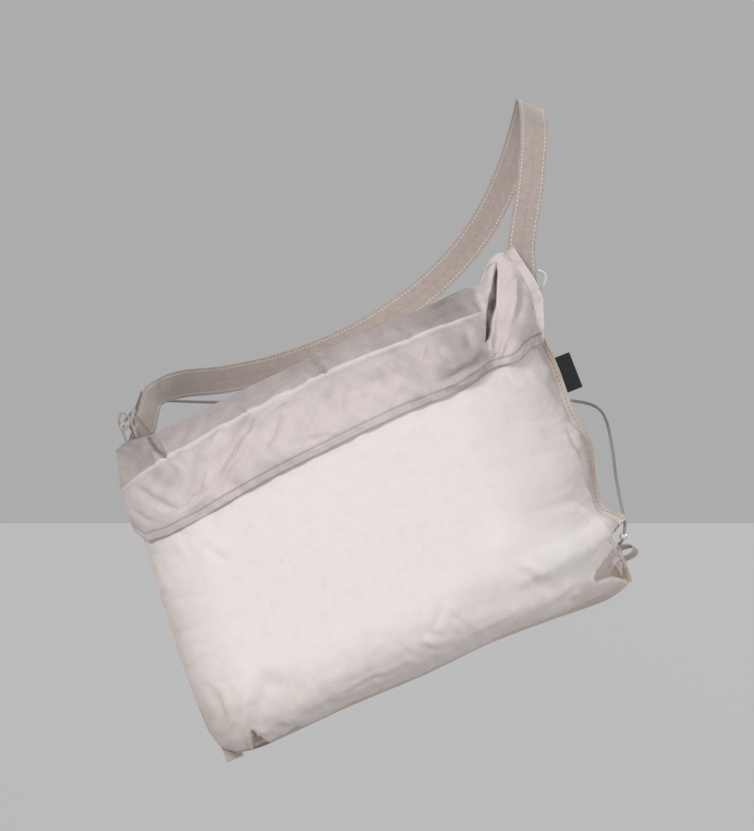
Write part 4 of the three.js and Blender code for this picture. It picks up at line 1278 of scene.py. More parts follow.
    @staticmethod
    def front_form(columns: Array, rows: Array) -> tuple:
        """The plain front panel on a grid of places.

        Args:
            columns, rows: the places, in millimetres across and up.

        Returns:
            The sheet, the places of its points and their u and v in the bag's frame.
        """
        across, up = np.meshgrid(columns, rows)
        u, v, w = FORM.front(across, up)
        return Sheet(columns, rows, FORM.to_model(u, v, w)), across, up, u, v

    def slack(self, across: Array, up: Array) -> Array:
        """The simulated wrinkles.

        Args:
            across, up: the front panel's own places.

        Returns:
            The lift there in millimetres.
        """
        columns = np.linspace(0, FORM.width, 160)
        rows = np.linspace(0, FORM.height - self.mouth, 110)
        sheet, far, high, _, _ = self.front_form(columns, rows)
        inward = np.minimum(np.minimum(far, FORM.width - far), high)
        pins = np.where((inward < 5) | (high > FORM.height - 24), 1.0, 0.0)
        tall = smooth_between(rows, self.wrinkles.lift(sheet, pins), up[:, 0])
        return smooth_between(columns, tall.T, across[0]).T

    def relief(self, across: Array, up: Array, u: Array, v: Array) -> Array:
        """The cloth's small forms: creases, wrinkles, puckers at the seams and corner tucks.

        Args:
            across, up: places on the cloth.
            u, v: the same places in the bag's frame.

        Returns:
            The lift in millimetres.
        """
        lift = crease_lift(u, v, self.creases, 11) * 1.25
        low, right, left = up, FORM.width - across, across
        taut = soft_step(14, 58, np.minimum(low * 1.1, np.minimum(left, right * 0.8)))
        lift += np.clip(self.slack(across, up), -2.6, 2.6) * (0.85 - 0.72 * taut)
        near_low = bump(low, 46)
        near_right = bump(right, 44)
        near_left = bump(left, 30)
        # Puckers run in from a sewn edge, a few millimetres apart and soon gone
        lift += 0.5 * np.exp(-low / 12) * noise(across, low * 0.25, 7.5, 3) * soft_step(2, 8, low)
        lift += 0.8 * np.exp(-right / 14) * noise(right * 0.25, up, 6.5, 4) * soft_step(4, 9, right)
        lift += 0.5 * np.exp(-left / 12) * noise(left * 0.25, up, 8, 5) * soft_step(4, 9, left)
        # Long slack folds lie along the bottom, shorter ones down the right side
        lift += 0.7 * near_low * noise(u * 0.22, v + 0.12 * u, 7, 6)
        lift += 0.7 * near_right * noise(u + 0.25 * v, v * 0.4, 11, 7)
        lift += 0.35 * near_left * noise(u, v * 0.5, 12, 8)
        edge = np.clip(near_low * 0.7 + near_right * 1.2 + near_left * 0.7, 0, 1.3)
        lift += 0.4 * edge * crumple(u, v, 17, 9)
        lift += 0.22 * crumple(u, v, 40, 10)
        lift += 1.3 * noise(u, v, 75, 12) * soft_step(0, 40, low)
        corner = bump(np.hypot(u - 158, v + 92), 34)
        lift += 0.9 * corner * crumple(u, v, 13, 13)
        corner = bump(np.hypot(u + 150, v + 118), 34)
        lift += 0.6 * corner * crumple(u, v, 14, 14)
        lift -= 3.0 * within(u, v, self.petal_pocket, 1.6) + 2.4 * within(u, v, self.seam_pocket, 1.4)
        lift -= 3.0 * within(u, v, self.left_pocket, 1.6)
        lift += 1.3 * bump(line_gap(u, v, self.petal_lip), 1.6)
        flat = soft_step(0, 7, np.minimum(low, np.minimum(left, right)))
        lift = np.clip(lift * (0.15 + 0.85 * flat) - 0.2, -4.6, 3.6)
        covered = soft_step(FORM.height - 78, FORM.height - 70, up)
        return lift * (1 - covered) + (np.clip(lift, -1.2, 0.1) - 0.5) * covered

    def front_painted_light(
        self, across: Array, up: Array, u: Array, v: Array
    ) -> Array:
        """Painted shade on the front at its seams, bottom and sides, where it turns under and is slack and
        in its pockets, and painted highlight on the petal and its lip.

        Args:
            across, up: places on the cloth.
            u, v: the same places in the bag's frame.

        Returns:
            The painted light: 1 is all painted shade, and below 0 is painted highlight.
        """
        # Every term is painted shade, except petal and lip, which are painted highlight; at the seams and
        # sides it stands partly for the dark behind showing through the single layer
        wander = 7 * noise(u, v, 30, 21) + 5 * noise(u, v, 12, 22)
        low = soft_step(-80, -134, v + wander) * 0.27
        low += bump(np.hypot((u + 166) / 0.8, v + 96), 22) * 0.22
        right = soft_step(150, 176, u + 0.7 * wander + 0.03 * v) * 0.32
        left = soft_step(-164, -186, u + 0.5 * wander) * 0.25
        slack = bump(np.hypot((u - 178) / 0.5, v + 28), 40) * 0.3
        top = bump(np.hypot(u - 172, v - 66), 24) * 0.25
        lobe = soft_step(112, 128, u - 0.4 * (v + 110)) * soft_step(-98, -118, v) * 0.14
        petal = bump(np.hypot((u - 128) / 34, (v + 78) / 24), 1) * 0.6
        pockets = within(u, v, self.petal_pocket, 1.2) * 0.5 + within(u, v, self.seam_pocket, 1.2) * 0.6
        tuck = within(u, v, self.left_pocket, 1.4) * 0.85
        lip = bump(line_gap(u, v, self.petal_lip), 1.3) * 0.4
        edge = np.minimum(np.minimum(across, FORM.width - across), up)
        seam = bump(edge, 5.0) * 0.3
        tone = low + right + left + slack + top + lobe + pockets + tuck - lip + seam - petal
        return np.clip(tone, -0.8, 0.98)

    def back_sheet(self) -> Sheet:
        """The back panel, the bag's plain inner side, with soft slack in it."""
        rows = spaced([
            (FORM.flange, 3, 0),
            (FORM.flange + FORM.bottom_span, 20, 1),
            (FORM.height - 5, 90, 0),
        ])
        columns = FORM.columns(2.6)
        across, up = np.meshgrid(columns, rows)
        u, v, w = FORM.back(across, up)
        sides = np.minimum(across, FORM.width - across)
        inner = soft_step(4, 40, np.minimum(sides, np.minimum(up, FORM.height - up)))
        slack = inner * (1.0 * noise(u, v, 38, 31) + 0.8 * crumple(u + 0.5 * v, v, 26, 32))
        edge = np.exp(-np.minimum(up, np.minimum(across, FORM.width - across)) / 12)
        slack = slack + 0.25 * edge * noise(across + up, across - up, 8, 33)
        return Sheet(columns, rows, FORM.to_model(u, v, w - slack))

    def seam_stitches(self, front: Sheet, back: Sheet) -> None:
        """The row of stitches through the seam's flange, on both sides.

        Args:
            front, back: the two panels that the seam joins.
        """
        up = np.linspace(3, FORM.height - 20, 240)
        across = np.linspace(4, FORM.width - 4, 330)
        right, facing = front.at(np.full_like(up, FORM.width - self.stitch_in), up)
        rows = [(right + facing * self.wall / 2, facing)]
        for line in (
            (np.full_like(up, FORM.width - self.stitch_in), up),
            (np.full_like(up, self.stitch_in), up),
            (across, np.full_like(across, self.stitch_in)),
        ):
            points, facing = back.at(*line)
            rows.append((points - facing * self.wall / 2, -facing))
        stitch = Stitch(length=2.6, pitch=3.6, width=0.7, height=0.5, slant=0)
        piece = stitch.rows("seam_stitches", rows)
        dress(piece, self.looks["grey_thread"], Cloth.TAUPE.value)


@dataclass
class Flap:
    """The flap: folded over the mouth, hemmed, with its raised seam and the wing at its right end."""

    looks: dict[str, Material]
    drop: float = 62.0
    lift: float = 3.1
    wing_lift: float = 3.6
    press: float = 2.3
    wing_start: float = 0.8
    tail: float = 14.0
    left_inset: float = 3.0
    left_flare: float = 5.0
    flare_end: float = 0.16
    flare_fade: float = 0.7
    wall: float = 0.6
    hem: float = 6.2
    end_hem: float = 6.6
    left_hem: float = 3.6
    box: float = 5.0
    box_in: float = 7.5
    box_up: float = 11.0
    rows: int = 108
    wrinkles: Wrinkles = Wrinkles(growth=0.05, pressure=0, bending=1.0, seed=3)
    groove: tuple = (
        (158.5, 147.7), (152.6, 140.0), (148.6, 132.5), (143.6, 124.4), (138.8, 115.7), (133.2, 104.0),
        (128.6, 93.2), (132.1, 94.4), (138.6, 105.0), (146.1, 116.1), (151.3, 127.4), (157.5, 140.8),
    )
    notch: tuple = ((-141.8, 120.5), (-139.0, 110.1), (-134.6, 103.6))
    lip: tuple = (
        (157.5, 140.8), (151.3, 127.4), (146.1, 116.1), (138.6, 105.0), (132.1, 94.4), (129.4, 86.0),
    )
    hem_line: tuple = (
        (0, 0.86), (0.05, 1.2), (0.116, 1.17), (0.29, 1.1), (0.471, 1.06), (0.64, 1.04),
        (0.778, 1.06), (0.895, 0.97), (1, 1.14),
    )
    end_line: tuple = ((0, 0.003), (0.35, 0.02), (0.6, 0.028), (0.85, 0.01), (1, -0.008))
    seam_line: tuple = (
        (-181, 86), (-177.5, 88.9), (-157.3, 95.0), (-137.4, 99.5), (-103.9, 104.6), (-69.1, 109.0),
        (-30.3, 112.8), (7.8, 115.2), (37.1, 116.0), (66.2, 116.2), (99.6, 117.1), (132.2, 115.8),
        (140, 116.5),
    )
    creases: tuple = creases_of(
        (-141.5, 121.0, -132.0, 98.0, 2.2, -3.2, 1.0), (-147.5, 118.0, -139.5, 99.0, 3.0, 1.5, 1.0),
        (-56.2, 108.1, -109.1, 66.1, 2.2, -1.6, 2), (-65.6, 96.9, -105.7, 66.4, 3.5, 1.0, 3),
        (-109.1, 66.1, -138.6, 58.6, 2.2, -1.0, -1), (-163.9, 90.9, -138.0, 60.1, 3.0, -1.5, -2),
        (-172.8, 74.6, -159.9, 57.1, 2.5, -0.8, 0), (-139.6, 97.9, -126.7, 84.6, 3.5, -1.4, 1),
        (-127.2, 106.3, -115.3, 92.5, 3, 0.8, 1), (-4.4, 132.4, 5.3, 112.9, 2.2, -1.3, 1),
        (-11.7, 128.6, -5.3, 111.2, 3, 0.9, 0), (68.0, 131.2, 76.2, 116.4, 2.0, -1.2, 1),
        (52.8, 111.5, 62.3, 93.7, 2.6, -1.2, -2), (-23.0, 108.3, -48.7, 106.0, 3.5, -0.9, 1),
        (-7.1, 68.9, -39.4, 75.0, 3.0, -0.8, 1), (89.8, 79.6, 125.4, 83.7, 3.6, -2.4, -3),
        (82.4, 73.4, 121.6, 76.1, 3.0, 1.3, -2), (130.7, 133.0, 135.4, 115.4, 2.4, -1.2, 1),
        (13.2, 97.3, -5.4, 81.5, 4, -0.8, 2), (84.5, 112.3, 68.3, 92.2, 4, -0.9, 2),
        (-78.5, 110.3, -104.9, 91.7, 3.2, 0.8, 1), (-119.8, 85.2, -146.2, 70.7, 3.5, 0.7, -1),
        (36.7, 121.2, 41.2, 86.3, 5, 0.8, 2), (119.7, 113.3, 116.9, 89.6, 4, -0.8, -1),
        (-68.3, 119.5, -61.0, 108.4, 1.6, -0.9, 0), (-108.4, 80.7, -124.0, 62.0, 2.4, -0.7, 1),
        (-39.8, 99.2, -63.2, 77.8, 3.2, -0.7, 2), (-6.9, 98.6, -21.7, 78.0, 3.0, 0.6, 1),
        (89.0, 100.6, 97.8, 87.2, 2.5, -0.8, 0), (169.4, 136.7, 147.5, 95.7, 3.2, 1.5, 3),
        (147.5, 95.7, 130.4, 77.6, 2.6, 1.0, 1), (174.2, 129.9, 158.8, 101.2, 3.4, -1.0, 2),
        (158.0, 128.8, 169.7, 137.5, 1.8, 1.0, 0), (134.8, 82.5, 126.7, 72.5, 1.6, -0.9, 0),
        (140.4, 86.1, 132.7, 75.1, 1.4, 0.7, 0),
    )

    def build(self) -> None:
        """Builds and dresses every piece."""
        sheet, tone_and_painted_light = self.sheet()
        piece = sheet.make("flap_cloth", self.wall, tone_and_painted_light=tone_and_painted_light)
        sheet.flat_size()
        dress(piece, self.looks["taupe"], Cloth.TAUPE.value, "flap")
        self.seams(sheet)

    def grid(self) -> tuple[Array, Array]:
        """The columns' shares across and the rows' travel: 0 at the hem, 1 at the fold, 2 at the tail."""
        columns = spaced([
            (6, 5, 0), (17.45, 18, 0), (52, 36, 0), (259, 172, 0), (343, 130, -1), (FORM.width, 6, 0)
        ])
        travel = np.concatenate([
            np.sin(np.linspace(0, math.pi / 2, self.rows)),
            np.linspace(1, 1.5, 7)[1:],
            np.linspace(1.5, 2, 10)[1:],
        ])
        return columns / FORM.width, travel

    def drop_at(self, share: Array) -> Array:
        """How far the hem hangs below the fold's line, with a cut-off left corner.

        Args:
            share: the shares across.

        Returns:
            The drop in millimetres.
        """
        straight = np.interp(share, *np.array(self.hem_line).T)
        smooth = soft_step(0.06, 0.11, share)
        return self.drop * (smooth * curve_through(self.hem_line, share) + (1 - smooth) * straight)

    def sheet(self) -> tuple[Sheet, Array]:
        """The whole flap with its small forms, and its painted light and tone."""
        columns, travel = self.grid()
        flat, share, t, u, v = self.plain(columns, travel)
        return flat.lifted(self.relief(share, t, travel, u, v)), self.tone_and_painted_light(share, t, travel, u, v)

    def plain(self, columns: Array, travel: Array) -> tuple:
        """The plain flap, from its hem up over the fold and down behind the back.

        Args:
            columns: the shares across.
            travel: 0 at the hem, 1 at the fold, 1.5 behind it and 2 at the tail's end.

        Returns:
            The sheet, its points' shares across and up the front, and their u and v.
        """
        share, t = np.meshgrid(columns, np.minimum(travel, 1))
        hem_drop = self.drop_at(share)
        wing = np.clip((share - self.wing_start) / (1 - self.wing_start), 0, None)
        reach = FORM.width * np.interp(1 - t, *np.array(self.end_line).T)
        across = share * FORM.width + (1 - share) * self.left_inset + wing**2 * reach
        up = FORM.height - hem_drop * (1 - t)

        def place(a: Array, b: Array) -> Array:
            """The filled front there, as one array."""
            return np.stack(FORM.front(a, b), axis=-1)

        here = place(across, up)
        beside, below = place(across + 0.5, up) - here, place(across, up - 0.5) - here
        normal = unit(np.cross(below, beside))
        flare = np.clip(1 - share / self.flare_end, 0, None) * (1 - self.flare_fade * t)
        here[..., 0] -= flare * self.left_flare
        pressed = self.press * bump(t * hem_drop, 12)
        here += normal * (self.lift - pressed + wing * self.wing_lift)[..., None]
        u, v, w = here[..., 0], here[..., 1], here[..., 2]
        past = np.clip(travel - 1, 0, 0.5)[:, None] * math.pi
        tail = np.clip(travel - 1.5, 0, 0.5)[:, None] * 2
        v = v - self.lift * (1 - np.cos(past)) - self.tail * tail
        w = w - (w + FORM.tail_offset) * np.sin(past)
        flat = Sheet(columns * FORM.width, np.arange(len(travel), dtype=float), FORM.to_model(u, v, w))
        middle = flat.points[:, len(columns) // 3]
        flat.up = lengths_along(middle)
        return flat, share, t, u, v

    def crumpling(self, share: Array, travel: Array) -> Array:
        """The simulated crumpling of the flap's front.

        Args:
            share: the shares across at the flap's own points.
            travel: its rows' travel round the fold.

        Returns:
            The lift there in millimetres.
        """
        columns, rows = np.linspace(0, 1, 170), np.linspace(0, 1, 52)
        sheet, _, _, _, _ = self.plain(columns, rows)
        pins = np.where(rows[:, None] > 0.97, 1.0, 0.1) + 0 * columns[None, :]
        tall = smooth_between(rows, self.wrinkles.lift(sheet, pins), np.minimum(travel, 1))
        return smooth_between(columns, tall.T, share[0]).T * (travel < 1.01)[:, None]

    def relief(
        self, share: Array, t: Array, travel: Array, u: Array, v: Array
    ) -> Array:
        """The flap's small forms: its creases, hem, raised seam, groove and crumpled cloth.

        Args:
            share, t: the points' shares across and up the front.
            travel: the rows' travel round the fold.
            u, v: the points in the bag's frame.

        Returns:
            The lift in millimetres.
        """
        above = t * self.drop_at(share)
        from_end = (1 - share) * FORM.width
        from_left = share * FORM.width
        body = soft_step(0, 12, above)
        lift = crease_lift(u, v, self.creases, 41) * 1.9
        lift += np.clip(self.crumpling(share, travel) * 0.5, -1.6, 1.6)
        lift += 0.6 * crumple(u * 0.8 + v * 0.5, v * 1.1, 27, 42) * (0.5 + 0.5 * body)
        lift += 0.3 * crumple(u + 0.4 * v, v, 13, 43) * body
        lift += 1.3 * noise(u * 0.7 + v * 0.4, v, 30, 44) * body
        # The hem is two layers thick, puckered along its stitches
        lift += 0.5 * (1 - soft_step(self.hem - 0.5, self.hem + 0.9, above))
        lift -= 0.7 * bump(above - self.hem, 0.7)
        pucker = noise(from_left + 0.8 * above, above * 0.2, 5.2, 45)
        pucker += 0.6 * noise(from_left - 0.7 * above, above * 0.3, 3.1, 47)
        lift += 0.62 * pucker * bump(above - self.hem, 6.0)
        # Both ends have a hem of their own
        for gap, width in ((from_end, self.end_hem), (from_left, self.left_hem)):
            lift += 0.45 * (1 - soft_step(width - 0.5, width + 0.7, gap)) * body
            lift -= 0.45 * bump(gap - width, 0.8) * body
            lift += 0.3 * noise(gap * 0.2, v, 4.4, 48) * bump(gap - width, 5) * body
        # A seam under the cloth raises a thin ridge that runs along below the fold
        gap = v - curve_through(self.seam_line, u)
        reach = soft_step(139, 132, u)
        lift += reach * (0.7 * bump(gap, 0.65) - 0.7 * bump(gap + 2.4, 1.5))
        lift += reach * 0.3 * noise(u, v * 0.3, 6, 46) * bump(gap, 8)
        # The wing's groove has crisp lips
        lift -= 2.4 * within(u, v, self.groove, 1.2)
        lift += 1.2 * bump(line_gap(u, v, self.lip), 1.5)
        behind = soft_step(1.0, 1.35, travel)[:, None]
        rest = np.where(travel[:, None] > 1, 0.25, 1.0)
        lowest = np.maximum(-2.3, self.press * bump(above, 12) - 2.7)
        return np.clip(lift, lowest, 3.4) * (1 - 0.8 * behind) * rest

    def tone_and_painted_light(
        self, share: Array, t: Array, travel: Array, u: Array, v: Array
    ) -> Array:
        """Painted shade and painted highlight on the flap, with some random tone: shade in the groove, the
        notch, above the seam and along the hem, highlight along the raised seam, the groove's lip and the
        ends' edges.

        Args:
            share, t: the points' shares across and up the front.
            travel: the rows' travel round the fold.
            u, v: the points in the bag's frame.

        Returns:
            The mark: 1 is all painted shade, and below 0 is painted highlight.
        """
        above = t * self.drop_at(share)
        from_end, from_left = (1 - share) * FORM.width, share * FORM.width
        # Painted shade deep in the wing's groove, a little lighter near its lip
        groove = within(u, v, self.groove, 1.7) * (0.98 + 0.12 * noise(u, v, 7, 54))
        groove = groove * (0.72 + 0.28 * soft_step(7, 1, line_gap(u, v, self.lip)))
        # Painted shade in the notch's crease
        notch = bump(line_gap(u, v, self.notch), 1.8) * 0.45
        gap = v - curve_through(self.seam_line, u)
        reach = soft_step(139, 132, u)
        # Above the seam the cloth is a little darker, with painted shade that grows towards the right
        darker_above_seam = 0.24 * soft_step(0, 2, gap) * reach + 0.16 * soft_step(20, 120, u) * reach
        # Painted highlight along the raised seam and along the groove's lip
        ridge = 0.5 * bump(gap, 0.7) * reach
        lip = 0.6 * bump(line_gap(u, v, self.lip), 1.2)
        body = soft_step(0, 12, above)
        # Painted shade along the stitch lines of the hem and both ends, a painted shadow at the hem's edge,
        # and the hem's band a little darker
        hem_shade = 0.4 * bump(above - self.hem, 0.6) + 0.4 * bump(above, 0.7)
        hem_shade += 0.1 * (1 - soft_step(self.hem - 0.3, self.hem + 0.3, above))
        hem_shade += 0.25 * bump(from_end - self.end_hem, 0.6) * body
        hem_shade += 0.25 * bump(from_left - self.left_hem, 0.6) * body
        # Painted highlight along both ends' edges
        edge = 0.5 * bump(np.minimum(from_end, from_left), 0.7)
        tone = 0.02 + 0.05 * noise(u, v, 9, 51) + groove * 0.98 + notch + darker_above_seam + hem_shade
        tone = tone - ridge - lip * (1 - groove) - edge
        tone = tone + 0.12 * soft_step(0.1, 0.8, noise(u * 0.6, v, 30, 52))
        tone = tone + 0.12 * soft_step(0.1, 0.8, noise(u * 0.8 + v * 0.5, v, 17, 53))
        return np.where(travel[:, None] > 1.2, 0.1, np.clip(tone, -0.8, 0.98))

    def seams(self, sheet: Sheet) -> None:
        """The stitches of the hem, of both ends, beside the raised seam and in the wing's box."""
        face = self.wall / 2
        share = np.linspace(0.02, 0.985, 420)
        lines = [self.on_sheet(sheet, share, self.hem + 0 * share, face)]
        above = np.linspace(4, 50, 60)
        lines.append(self.on_sheet(sheet, self.left_hem / FORM.width + 0 * above, above, face))
        wing_above = np.linspace(5, 66, 70)
        end = 1 - self.end_hem / FORM.width + 0 * wing_above
        lines.append(self.on_sheet(sheet, end, wing_above, face))
        for edge in (0, self.box):
            side = np.linspace(0, self.box, 12)
            place = 1 - (self.box_in + edge) / FORM.width + 0 * side
            lines.append(self.on_sheet(sheet, place, self.box_up + side, face))
            along = 1 - (self.box_in + side) / FORM.width
            lines.append(self.on_sheet(sheet, along, self.box_up + edge + 0 * side, face))
        stitch = Stitch(length=2.0, pitch=2.7, width=0.5, height=0.4, slant=8)
        dress(stitch.rows("flap_hem_stitches", lines), self.looks["taupe_thread"], Cloth.TAUPE.value)
        columns, travel = self.grid()
        _, _, _, u, v = self.plain(columns, travel)
        ridge = []
        for column in np.flatnonzero((columns > 0.02) & (columns < 0.873)):
            gap = v[: self.rows, column] - curve_through(self.seam_line, u[: self.rows, column])
            ridge.append((column, float(np.interp(0, gap, np.arange(self.rows)))))
        spots = np.array(ridge)
        across = columns[spots[:, 0].astype(int)] * FORM.width
        up = np.interp(spots[:, 1], np.arange(len(travel)), sheet.up)
        fine = np.linspace(across[0], across[-1], 900)
        points, facing = sheet.at(fine, smooth_between(across, up, fine))
        bright = Stitch(length=2.5, pitch=2.9, width=0.5, height=0.4, slant=4, sink=-0.02)
        piece = bright.rows("flap_seam_stitches", [(points + facing * face, facing)])
        dress(piece, self.looks["pale_thread"], Cloth.TAUPE.value)

    def on_sheet(self, sheet: Sheet, share: Array, above: Array, out: float) -> tuple:
        """Points on the flap's face at shares across and millimetres above its hem.

        Args:
            sheet: the flap.
            share: the shares across.
            above: how far above the hem, in millimetres of the hem's drop.
            out: how far out of the sheet.

        Returns:
            The points and the way the cloth faces there.
        """
        _, travel = self.grid()
        wanted = np.clip(above / self.drop_at(share), 0, 1)
        row = np.interp(wanted, travel[: self.rows], np.arange(self.rows))
        up = np.interp(row, np.arange(len(travel)), sheet.up)
        points, facing = sheet.at(share * FORM.width, up)
        return points + facing * out, facing


# Webbing


@dataclass(frozen=True)
class Slider:
    """The slider's place and turn, and its sizes, with those of the part's source."""

    bar: float = 3.0
    slot: float = 4.5
    side: float = 2.6
    thickness: float = 2.6
    reach: float = 20.0
    along: float = 0.065
    strap_width: float = 22.0
    strap_thickness: float = 1.2

    @property
    def pitch(self) -> float:
        """From one bar to the next."""
        return self.bar + self.slot

    @property
    def hairpin_radius(self) -> float:
        """The radius that webbing takes round a bar."""
        return math.hypot(self.bar, self.thickness) / 2 + 0.3 + self.strap_thickness / 2

    @property
    def run(self) -> Array:
        """The way along the plate, towards the bag."""
        return unit(np.array([-0.14, -0.8, -0.58]))

    @property
    def across(self) -> Array:
        """The way along the bars."""
        return unit(np.cross(self.run, np.array([-0.8, 0.44, -0.41])))

    @property
    def outward(self) -> Array:
        """The way out of the plate's outer face."""
        return unit(np.cross(self.across, self.run))

    def anchor(self, drop: float) -> Array:
        """A place on the anchor webbing, at a drop below the flap's fold."""
        u = -FORM.width / 2 + self.along * FORM.width
        return FORM.to_model(u, FORM.top(self.along) - drop, -FORM.strap_offset)

    @property
    def centre(self) -> Array:
        """The plate's middle."""
        return self.anchor(0) - self.run * self.reach

    def hairpin(self, end: int, start_side: int) -> Array:
        """Webbing's middle line as it turns round one of the end bars.

        Args:
            end: 1 for the bar nearer to the bag, -1 for the other.
            start_side: 1 where it starts on the plate's outer side, -1 on the inner.

        Returns:
            The line's points.
        """
        turn = np.linspace(0, math.pi, 15)[:, None]
        inward = -end * np.sin(turn) * self.hairpin_radius
        aside = start_side * np.cos(turn) * self.hairpin_radius
        return self.centre + self.run * (end * self.pitch + inward) + self.outward * aside


@dataclass
class Strap:
    """The shoulder strap, the webbing that holds the slider, and the slider."""

    looks: dict[str, Material]
    slider: Slider = field(default_factory=Slider)
    thickness: float = 1.15
    face: float = 0.58
    stitch_in: float = 2.4
    sewn: float = 34.0
    start_along: float = 0.988
    tail: float = 30.0
    loop_size: tuple = (344.0, 228.0, 253.0)
    route: tuple = (
        ((0.007, -0.193, 0.08), (0.2, -0.6, 0.75)),
        ((0, 0, 0), (0.406, 0, 0.914)),
        ((-0.012, 0.158, 0.063), (0.35, 0.5, 0.75)),
        ((-0.047, 0.298, 0.213), (0.25, 0.85, 0.45)),
        ((-0.122, 0.43, 0.403), (0.15, 0.97, 0.15)),
        ((-0.244, 0.544, 0.577), (0.1, 1, 0)),
        ((-0.392, 0.596, 0.711), (0, 1, 0)),
        ((-0.552, 0.57, 0.802), (-0.25, 0.97, 0)),
        ((-0.698, 0.456, 0.85), (-0.6, 0.8, 0)),
        ((-0.797, 0.281, 0.866), (-0.87, 0.45, 0)),
        ((-0.846, 0.105, 0.889), (-1, 0.05, -0.05)),
    )

    def build(self) -> None:
        """Builds and dresses every piece."""
        strap = self.strap_sheet()
        piece = strap.make("shoulder_strap_webbing", self.thickness)
        dress(piece, self.looks["webbing"], "webbing", "shoulder_strap")
        anchor = self.anchor_sheet()
        piece = anchor.make("anchor_webbing_tape", self.thickness)
        dress(piece, self.looks["webbing"], "webbing", "anchor_webbing")
        self.stitches(strap, anchor)
        self.make_slider()

    @staticmethod
    def back_facing(place: Array) -> Array:
        """The way the curved back panel faces there, towards the bag's outer side."""
        return unit(np.array([(place[0] - FORM.curve_centre) / FORM.curve_radius, -1, 0]))

    def tape_sheet(self, centres: Array, facings: Array, tail: Array) -> Sheet:
        """A tape along smooth stations that ends in stations whose width runs along the slider.

        Args:
            centres, facings: chosen points and the way the tape faces there.
            tail: the last stations' middle points.

        Returns:
            The sheet.
        """
        found = smooth_route(centres, 3.0)
        places, through = found[:, :3], found[:, 3]
        turned = smooth_route(facings, 0.02)
        facing = rows_at(through, turned[:, 3], turned)
        width_way = unit(np.cross(unit(np.gradient(places, axis=0)), unit(facing)))
        places = np.vstack([places, tail])
        width_way = np.vstack([width_way, np.tile(self.slider.across, (len(tail), 1))])
        sides = np.linspace(-0.5, 0.5, 13) * self.slider.strap_width
        points = places[:, None, :] + width_way[:, None, :] * sides[None, :, None]
        along = lengths_along(places)
        sheet = Sheet(sides - sides[0], along, points)
        # Webbing is thinner at its woven edges, and each row of stitches draws it in
        share = np.abs(sides) / (self.slider.strap_width / 2)
        ripple = 0.12 * noise(along[:, None], sides[None, :], 14, 61)
        drawn = -0.12 * bump(np.abs(sides) - 8.6, 1.0)
        return sheet.lifted((drawn - 0.1 * share**6)[None, :] + ripple * 0.6)

    def strap_sheet(self) -> Sheet:
        """The strap's whole loop, from where it is sewn behind the flap to the slider."""
        u = -FORM.width / 2 + self.start_along * FORM.width
        level = float(FORM.top(self.start_along))
        start = FORM.to_model(u, level - self.sewn, -FORM.strap_offset)
        edge = FORM.to_model(u + self.sewn * math.sin(FORM.tilt), level + FORM.cloth, -FORM.strap_offset)
        centres = [start, (start + edge) / 2, edge, edge * (0.2, 0.98, 0.62), edge * (-0.15, 0.86, 0.38)]
        facings = [self.back_facing(place) for place in centres]
        for share, facing in self.route:
            centres.append(np.array(share) * self.loop_size * (1, 1, -1) + (0, 0, 0.6))
            facings.append(unit(np.array(facing, float)))
        slider = self.slider
        leg = slider.centre + slider.run * (-slider.pitch - self.tail)
        centres.append(leg - slider.outward * (0.3 + slider.strap_thickness))
        facings.append(slider.outward)
        tail = np.vstack([slider.hairpin(-1, -1), leg + slider.outward * slider.strap_thickness])
        return self.tape_sheet(np.array(centres), np.array(facings), self.filled_in(tail))

    def anchor_sheet(self) -> Sheet:
        """The short webbing that holds the slider."""
        slider = self.slider
        centres = [slider.anchor(drop) for drop in (22.0, 11.0, 0.0)]
        facings = [self.back_facing(place) for place in centres]
        beside = slider.centre + slider.run * (slider.pitch + slider.bar)
        tail = np.vstack([
            beside - slider.outward * slider.hairpin_radius,
            slider.hairpin(1, -1),
            beside + slider.outward * slider.hairpin_radius,
        ])
        return self.tape_sheet(np.array(centres), np.array(facings), self.filled_in(tail))

    @staticmethod
    def filled_in(points: Array) -> Array:
        """The same line with more points on its long straight runs."""
        found = [points[0]]
        for a, b in zip(points[:-1], points[1:]):
            count = max(1, round(float(np.linalg.norm(b - a)) / 3))
            found.extend(a + (b - a) * k / count for k in range(1, count + 1))
        return np.array(found)

    def stitches(self, strap: Sheet, anchor: Sheet) -> None:
        """Two bright rows and a fainter one down the webbing, on both faces.

        Args:
            strap, anchor: the two lengths of webbing.
        """
        width = self.slider.strap_width
        lines: list[tuple[Array, Array]] = []
        fainter: list[tuple[Array, Array]] = []
        for sheet, first, last in ((strap, 2.0, strap.up[-1] - 2), (anchor, 2.0, anchor.up[-1] - 2)):
            along = np.arange(first, last, 1.5)
            for across in (self.stitch_in, width - self.stitch_in, width / 2):
                points, facing = sheet.at(np.full_like(along, across), along)
                rows = fainter if across == width / 2 else lines
                rows.append((points + facing * self.face, facing))
                rows.append((points - facing * self.face, -facing))
        bright = Stitch(length=2.4, pitch=3.4, width=0.75, height=0.5, slant=0)
        dress(bright.rows("strap_stitches", lines), self.looks["pale_thread"], "webbing")
        dull = Stitch(length=2.2, pitch=3.4, width=0.55, height=0.35, slant=0)
        dress(dull.rows("strap_middle_stitches", fainter), self.looks["taupe_thread"], "webbing")

